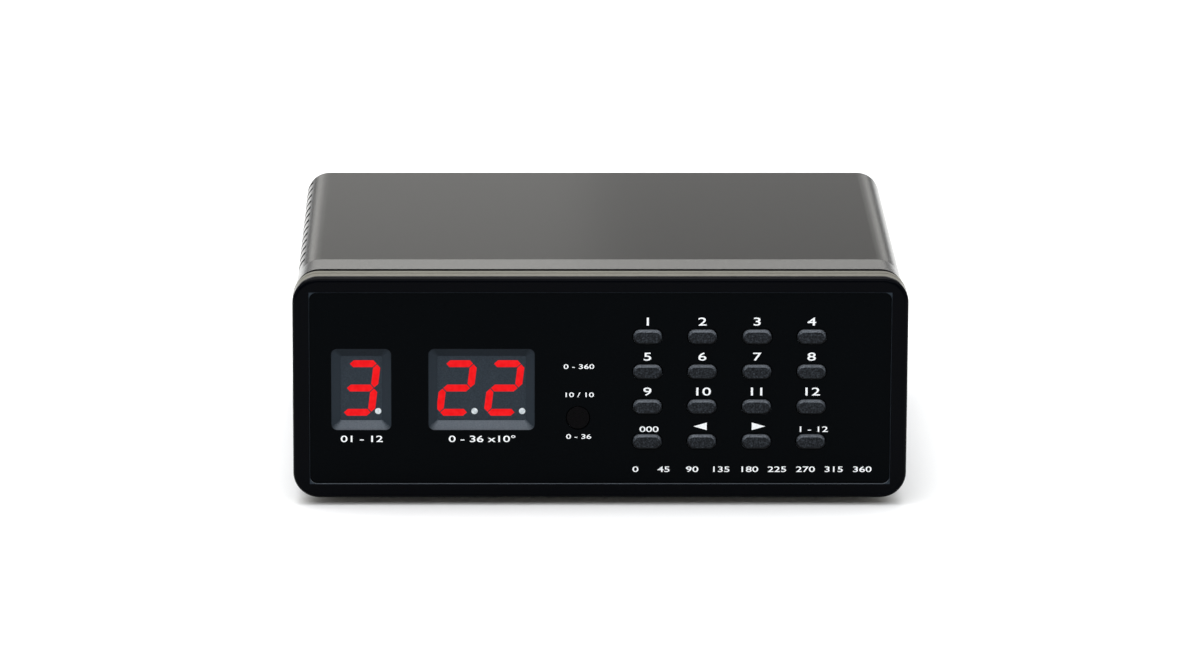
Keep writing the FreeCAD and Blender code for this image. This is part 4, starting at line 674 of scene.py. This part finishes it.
class DressNodes(bpy.types.Operator):
    """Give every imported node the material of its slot"""
    bl_idname = "controller.dress_nodes"
    bl_label = "Dress the packed nodes"

    def execute(self, context):
        materials = node_materials()
        for row in frame["record"]["subparts"]:
            node = NODES[row["node"]]
            node.data.materials.clear()
            node.data.materials.append(materials[row["material_slot"]])
        return {"FINISHED"}


class PrintKeyNumbers(bpy.types.Operator):
    """Print the numbers 1 to 12 over the preset keys"""
    bl_idname = "controller.print_key_numbers"
    bl_label = "Numbers over the keys"

    def execute(self, context):
        settings = context.scene.print_settings
        items = []
        for number, name in enumerate(NUMBERED_KEYS, start=1):
            low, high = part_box(name)
            place = ((low[0] + high[0]) / 2, FASCIA_LOW[1], high[2] - KEY_FLANGE + settings.label_gap)
            items.append(printed_figures(str(number), settings.number_height, place))
        dress(joined(items), "key_numbers", white_ink())
        return {"FINISHED"}


class PrintArrows(bpy.types.Operator):
    """Print the two arrow heads and the small figures over the last row of keys"""
    bl_idname = "controller.print_arrows"
    bl_label = "Marks over the last row"

    def execute(self, context):
        settings = context.scene.print_settings
        arrows = [printed_arrow(ARROW_TIPS["left"], -1), printed_arrow(ARROW_TIPS["right"], 1)]
        dress(joined(arrows), "turn_arrows", white_ink())
        figures = [printed_figures("000", settings.small_height, on_fascia(RESET_X, SMALL_BASE_Z)),
                   printed_figures("1 - 12", settings.small_height, on_fascia(STORE_X, SMALL_BASE_Z))]
        dress(joined(figures), "end_key_figures", white_ink())
        return {"FINISHED"}


class PrintRanges(bpy.types.Operator):
    """Print the range of each display under its window"""
    bl_idname = "controller.print_ranges"
    bl_label = "Ranges under the displays"

    def execute(self, context):
        settings = context.scene.print_settings
        figures = [printed_figures("01 - 12", settings.range_height, on_fascia(PRESET_RANGE_X, RANGE_BASE_Z)),
                   printed_figures("0 - 36 x10°", settings.range_height,
                                   on_fascia(DEGREE_RANGE_X, RANGE_BASE_Z))]
        dress(joined(figures), "display_ranges", white_ink())
        return {"FINISHED"}


class PrintSensorFigures(bpy.types.Operator):
    """Print the three fine lines of figures over and under the sensor"""
    bl_idname = "controller.print_sensor_figures"
    bl_label = "Figures round the sensor"

    def execute(self, context):
        settings = context.scene.print_settings
        figures = [printed_figures(words, settings.fine_height, on_fascia(SENSOR_X, z))
                   for words, z in SENSOR_LINES]
        dress(joined(figures), "sensor_figures", white_ink())
        return {"FINISHED"}


class PrintScale(bpy.types.Operator):
    """Print a line of degrees along the foot of the fascia"""
    bl_idname = "controller.print_scale"
    bl_label = "Scale of degrees"

    def execute(self, context):
        settings = context.scene.print_settings
        step = (SCALE_LAST_X - SCALE_FIRST_X) / (len(SCALE_DEGREES) - 1)
        figures = [printed_figures(str(degrees), settings.small_height,
                                   on_fascia(SCALE_FIRST_X + index * step, SCALE_BASE_Z))
                   for index, degrees in enumerate(SCALE_DEGREES)]
        dress(joined(figures), "degree_scale", white_ink())
        return {"FINISHED"}


class BuildStage(bpy.types.Operator):
    """Lay the pale floor, set the lights and place the camera"""
    bl_idname = "controller.build_stage"
    bl_label = "Stage, lights and camera"

    def execute(self, context):
        settings = context.scene.studio_settings
        context.scene.view_settings.view_transform = "Standard"
        self.lay_floor(settings)
        self.hang_lights(settings)
        self.set_surroundings(context.scene, settings)
        self.place_camera(context.scene)
        return {"FINISHED"}

    def lay_floor(self, settings):
        bpy.ops.object.select_all(action="DESELECT")
        bpy.ops.mesh.primitive_grid_add(x_subdivisions=FLOOR_CELLS, y_subdivisions=FLOOR_CELLS,
                                        size=FLOOR_WIDE, location=(0, 0, 0))
        floor = bpy.context.object
        floor.name = "floor"
        floor.data.materials.append(new_material("matt_floor_paint", settings.floor_colour, 0.0, 0.9,
                                                 Specular_IOR_Level=0.1)[0])

    def hang_lights(self, settings):
        for name, (place, size, power) in LIGHTS.items():
            bpy.ops.object.light_add(type="AREA", location=place)
            light = bpy.context.object
            light.name = name
            light.data.shape = "RECTANGLE"
            light.data.size, light.data.size_y = size
            light.data.energy = getattr(settings, power)
            light.rotation_euler = (LIGHT_AIM - Vector(place)).to_track_quat("-Z", "Y").to_euler()

    def set_surroundings(self, scene, settings):
        world = bpy.data.worlds.new("studio")
        scene.world = world
        world.use_nodes = True
        tree = world.node_tree
        tree.nodes.clear()
        direction = add_node(tree, "ShaderNodeTexCoord").outputs["Generated"]
        height = add_node(tree, "ShaderNodeSeparateXYZ", links={"Vector": direction}).outputs["Z"]
        sky = add_node(tree, "ShaderNodeValToRGB", links={"Fac": height}, stops=SKY_STOPS)
        zenith = add_node(tree, "ShaderNodeMapRange",
                          inputs={"From Min": ZENITH_FROM, "From Max": ZENITH_FULL,
                                  "To Min": settings.sky_strength,
                                  "To Max": ZENITH_GAIN * settings.sky_strength},
                          links={"Value": height})
        glow = add_node(tree, "ShaderNodeBackground",
                        links={"Color": sky.outputs["Color"], "Strength": zenith.outputs["Result"]})
        add_node(tree, "ShaderNodeOutputWorld", links={"Surface": glow.outputs["Background"]})

    def place_camera(self, scene):
        bpy.ops.object.camera_add()
        camera = bpy.context.object
        camera.name = "photo_camera"
        camera.location = (CAMERA_ACROSS, BEZEL_LOW[1] - CAMERA_BACK, BEZEL_LOW[2] + CAMERA_UP)
        camera.rotation_euler = (math.radians(90 - CAMERA_DOWN), 0, 0)
        camera.data.sensor_width = FILM_WIDE
        camera.data.lens = PHOTO_FOCAL / PHOTO_WIDE * FILM_WIDE
        camera.data.shift_x = (PHOTO_WIDE / 2 - PHOTO_CENTRE_ACROSS) / PHOTO_WIDE
        camera.data.clip_end = CAMERA_REACH
        scene.camera = camera


class ControllerPanel(bpy.types.Panel):
    """Lists the steps that dress the controller"""
    bl_idname = "VIEW3D_PT_controller"
    bl_label = "Rotator controller"
    bl_space_type = "VIEW_3D"
    bl_region_type = "UI"
    bl_category = "Controller"

    def draw(self, context):
        for step in STEPS:
            self.layout.operator(step.bl_idname)


STEPS = [DressNodes, PrintKeyNumbers, PrintArrows, PrintRanges, PrintSensorFigures, PrintScale, BuildStage]
SETTINGS = {"finish_settings": FinishSettings, "print_settings": PrintSettings,
            "studio_settings": StudioSettings}
CLASSES = [*SETTINGS.values(), *STEPS, ControllerPanel]


def register():
    for item in CLASSES:
        bpy.utils.register_class(item)
    for name, group in SETTINGS.items():
        setattr(bpy.types.Scene, name, bpy.props.PointerProperty(type=group))


def unregister():
    for name in SETTINGS:
        delattr(bpy.types.Scene, name)
    for item in reversed(CLASSES):
        bpy.utils.unregister_class(item)


def main():
    register()
    bpy.ops.object.select_all(action="DESELECT")
    bpy.ops.controller.dress_nodes()
    bpy.ops.controller.print_key_numbers()
    bpy.ops.controller.print_arrows()
    bpy.ops.controller.print_ranges()
    bpy.ops.controller.print_sensor_figures()
    bpy.ops.controller.print_scale()
    bpy.ops.controller.build_stage()


if __name__ == "__main__":
    main()
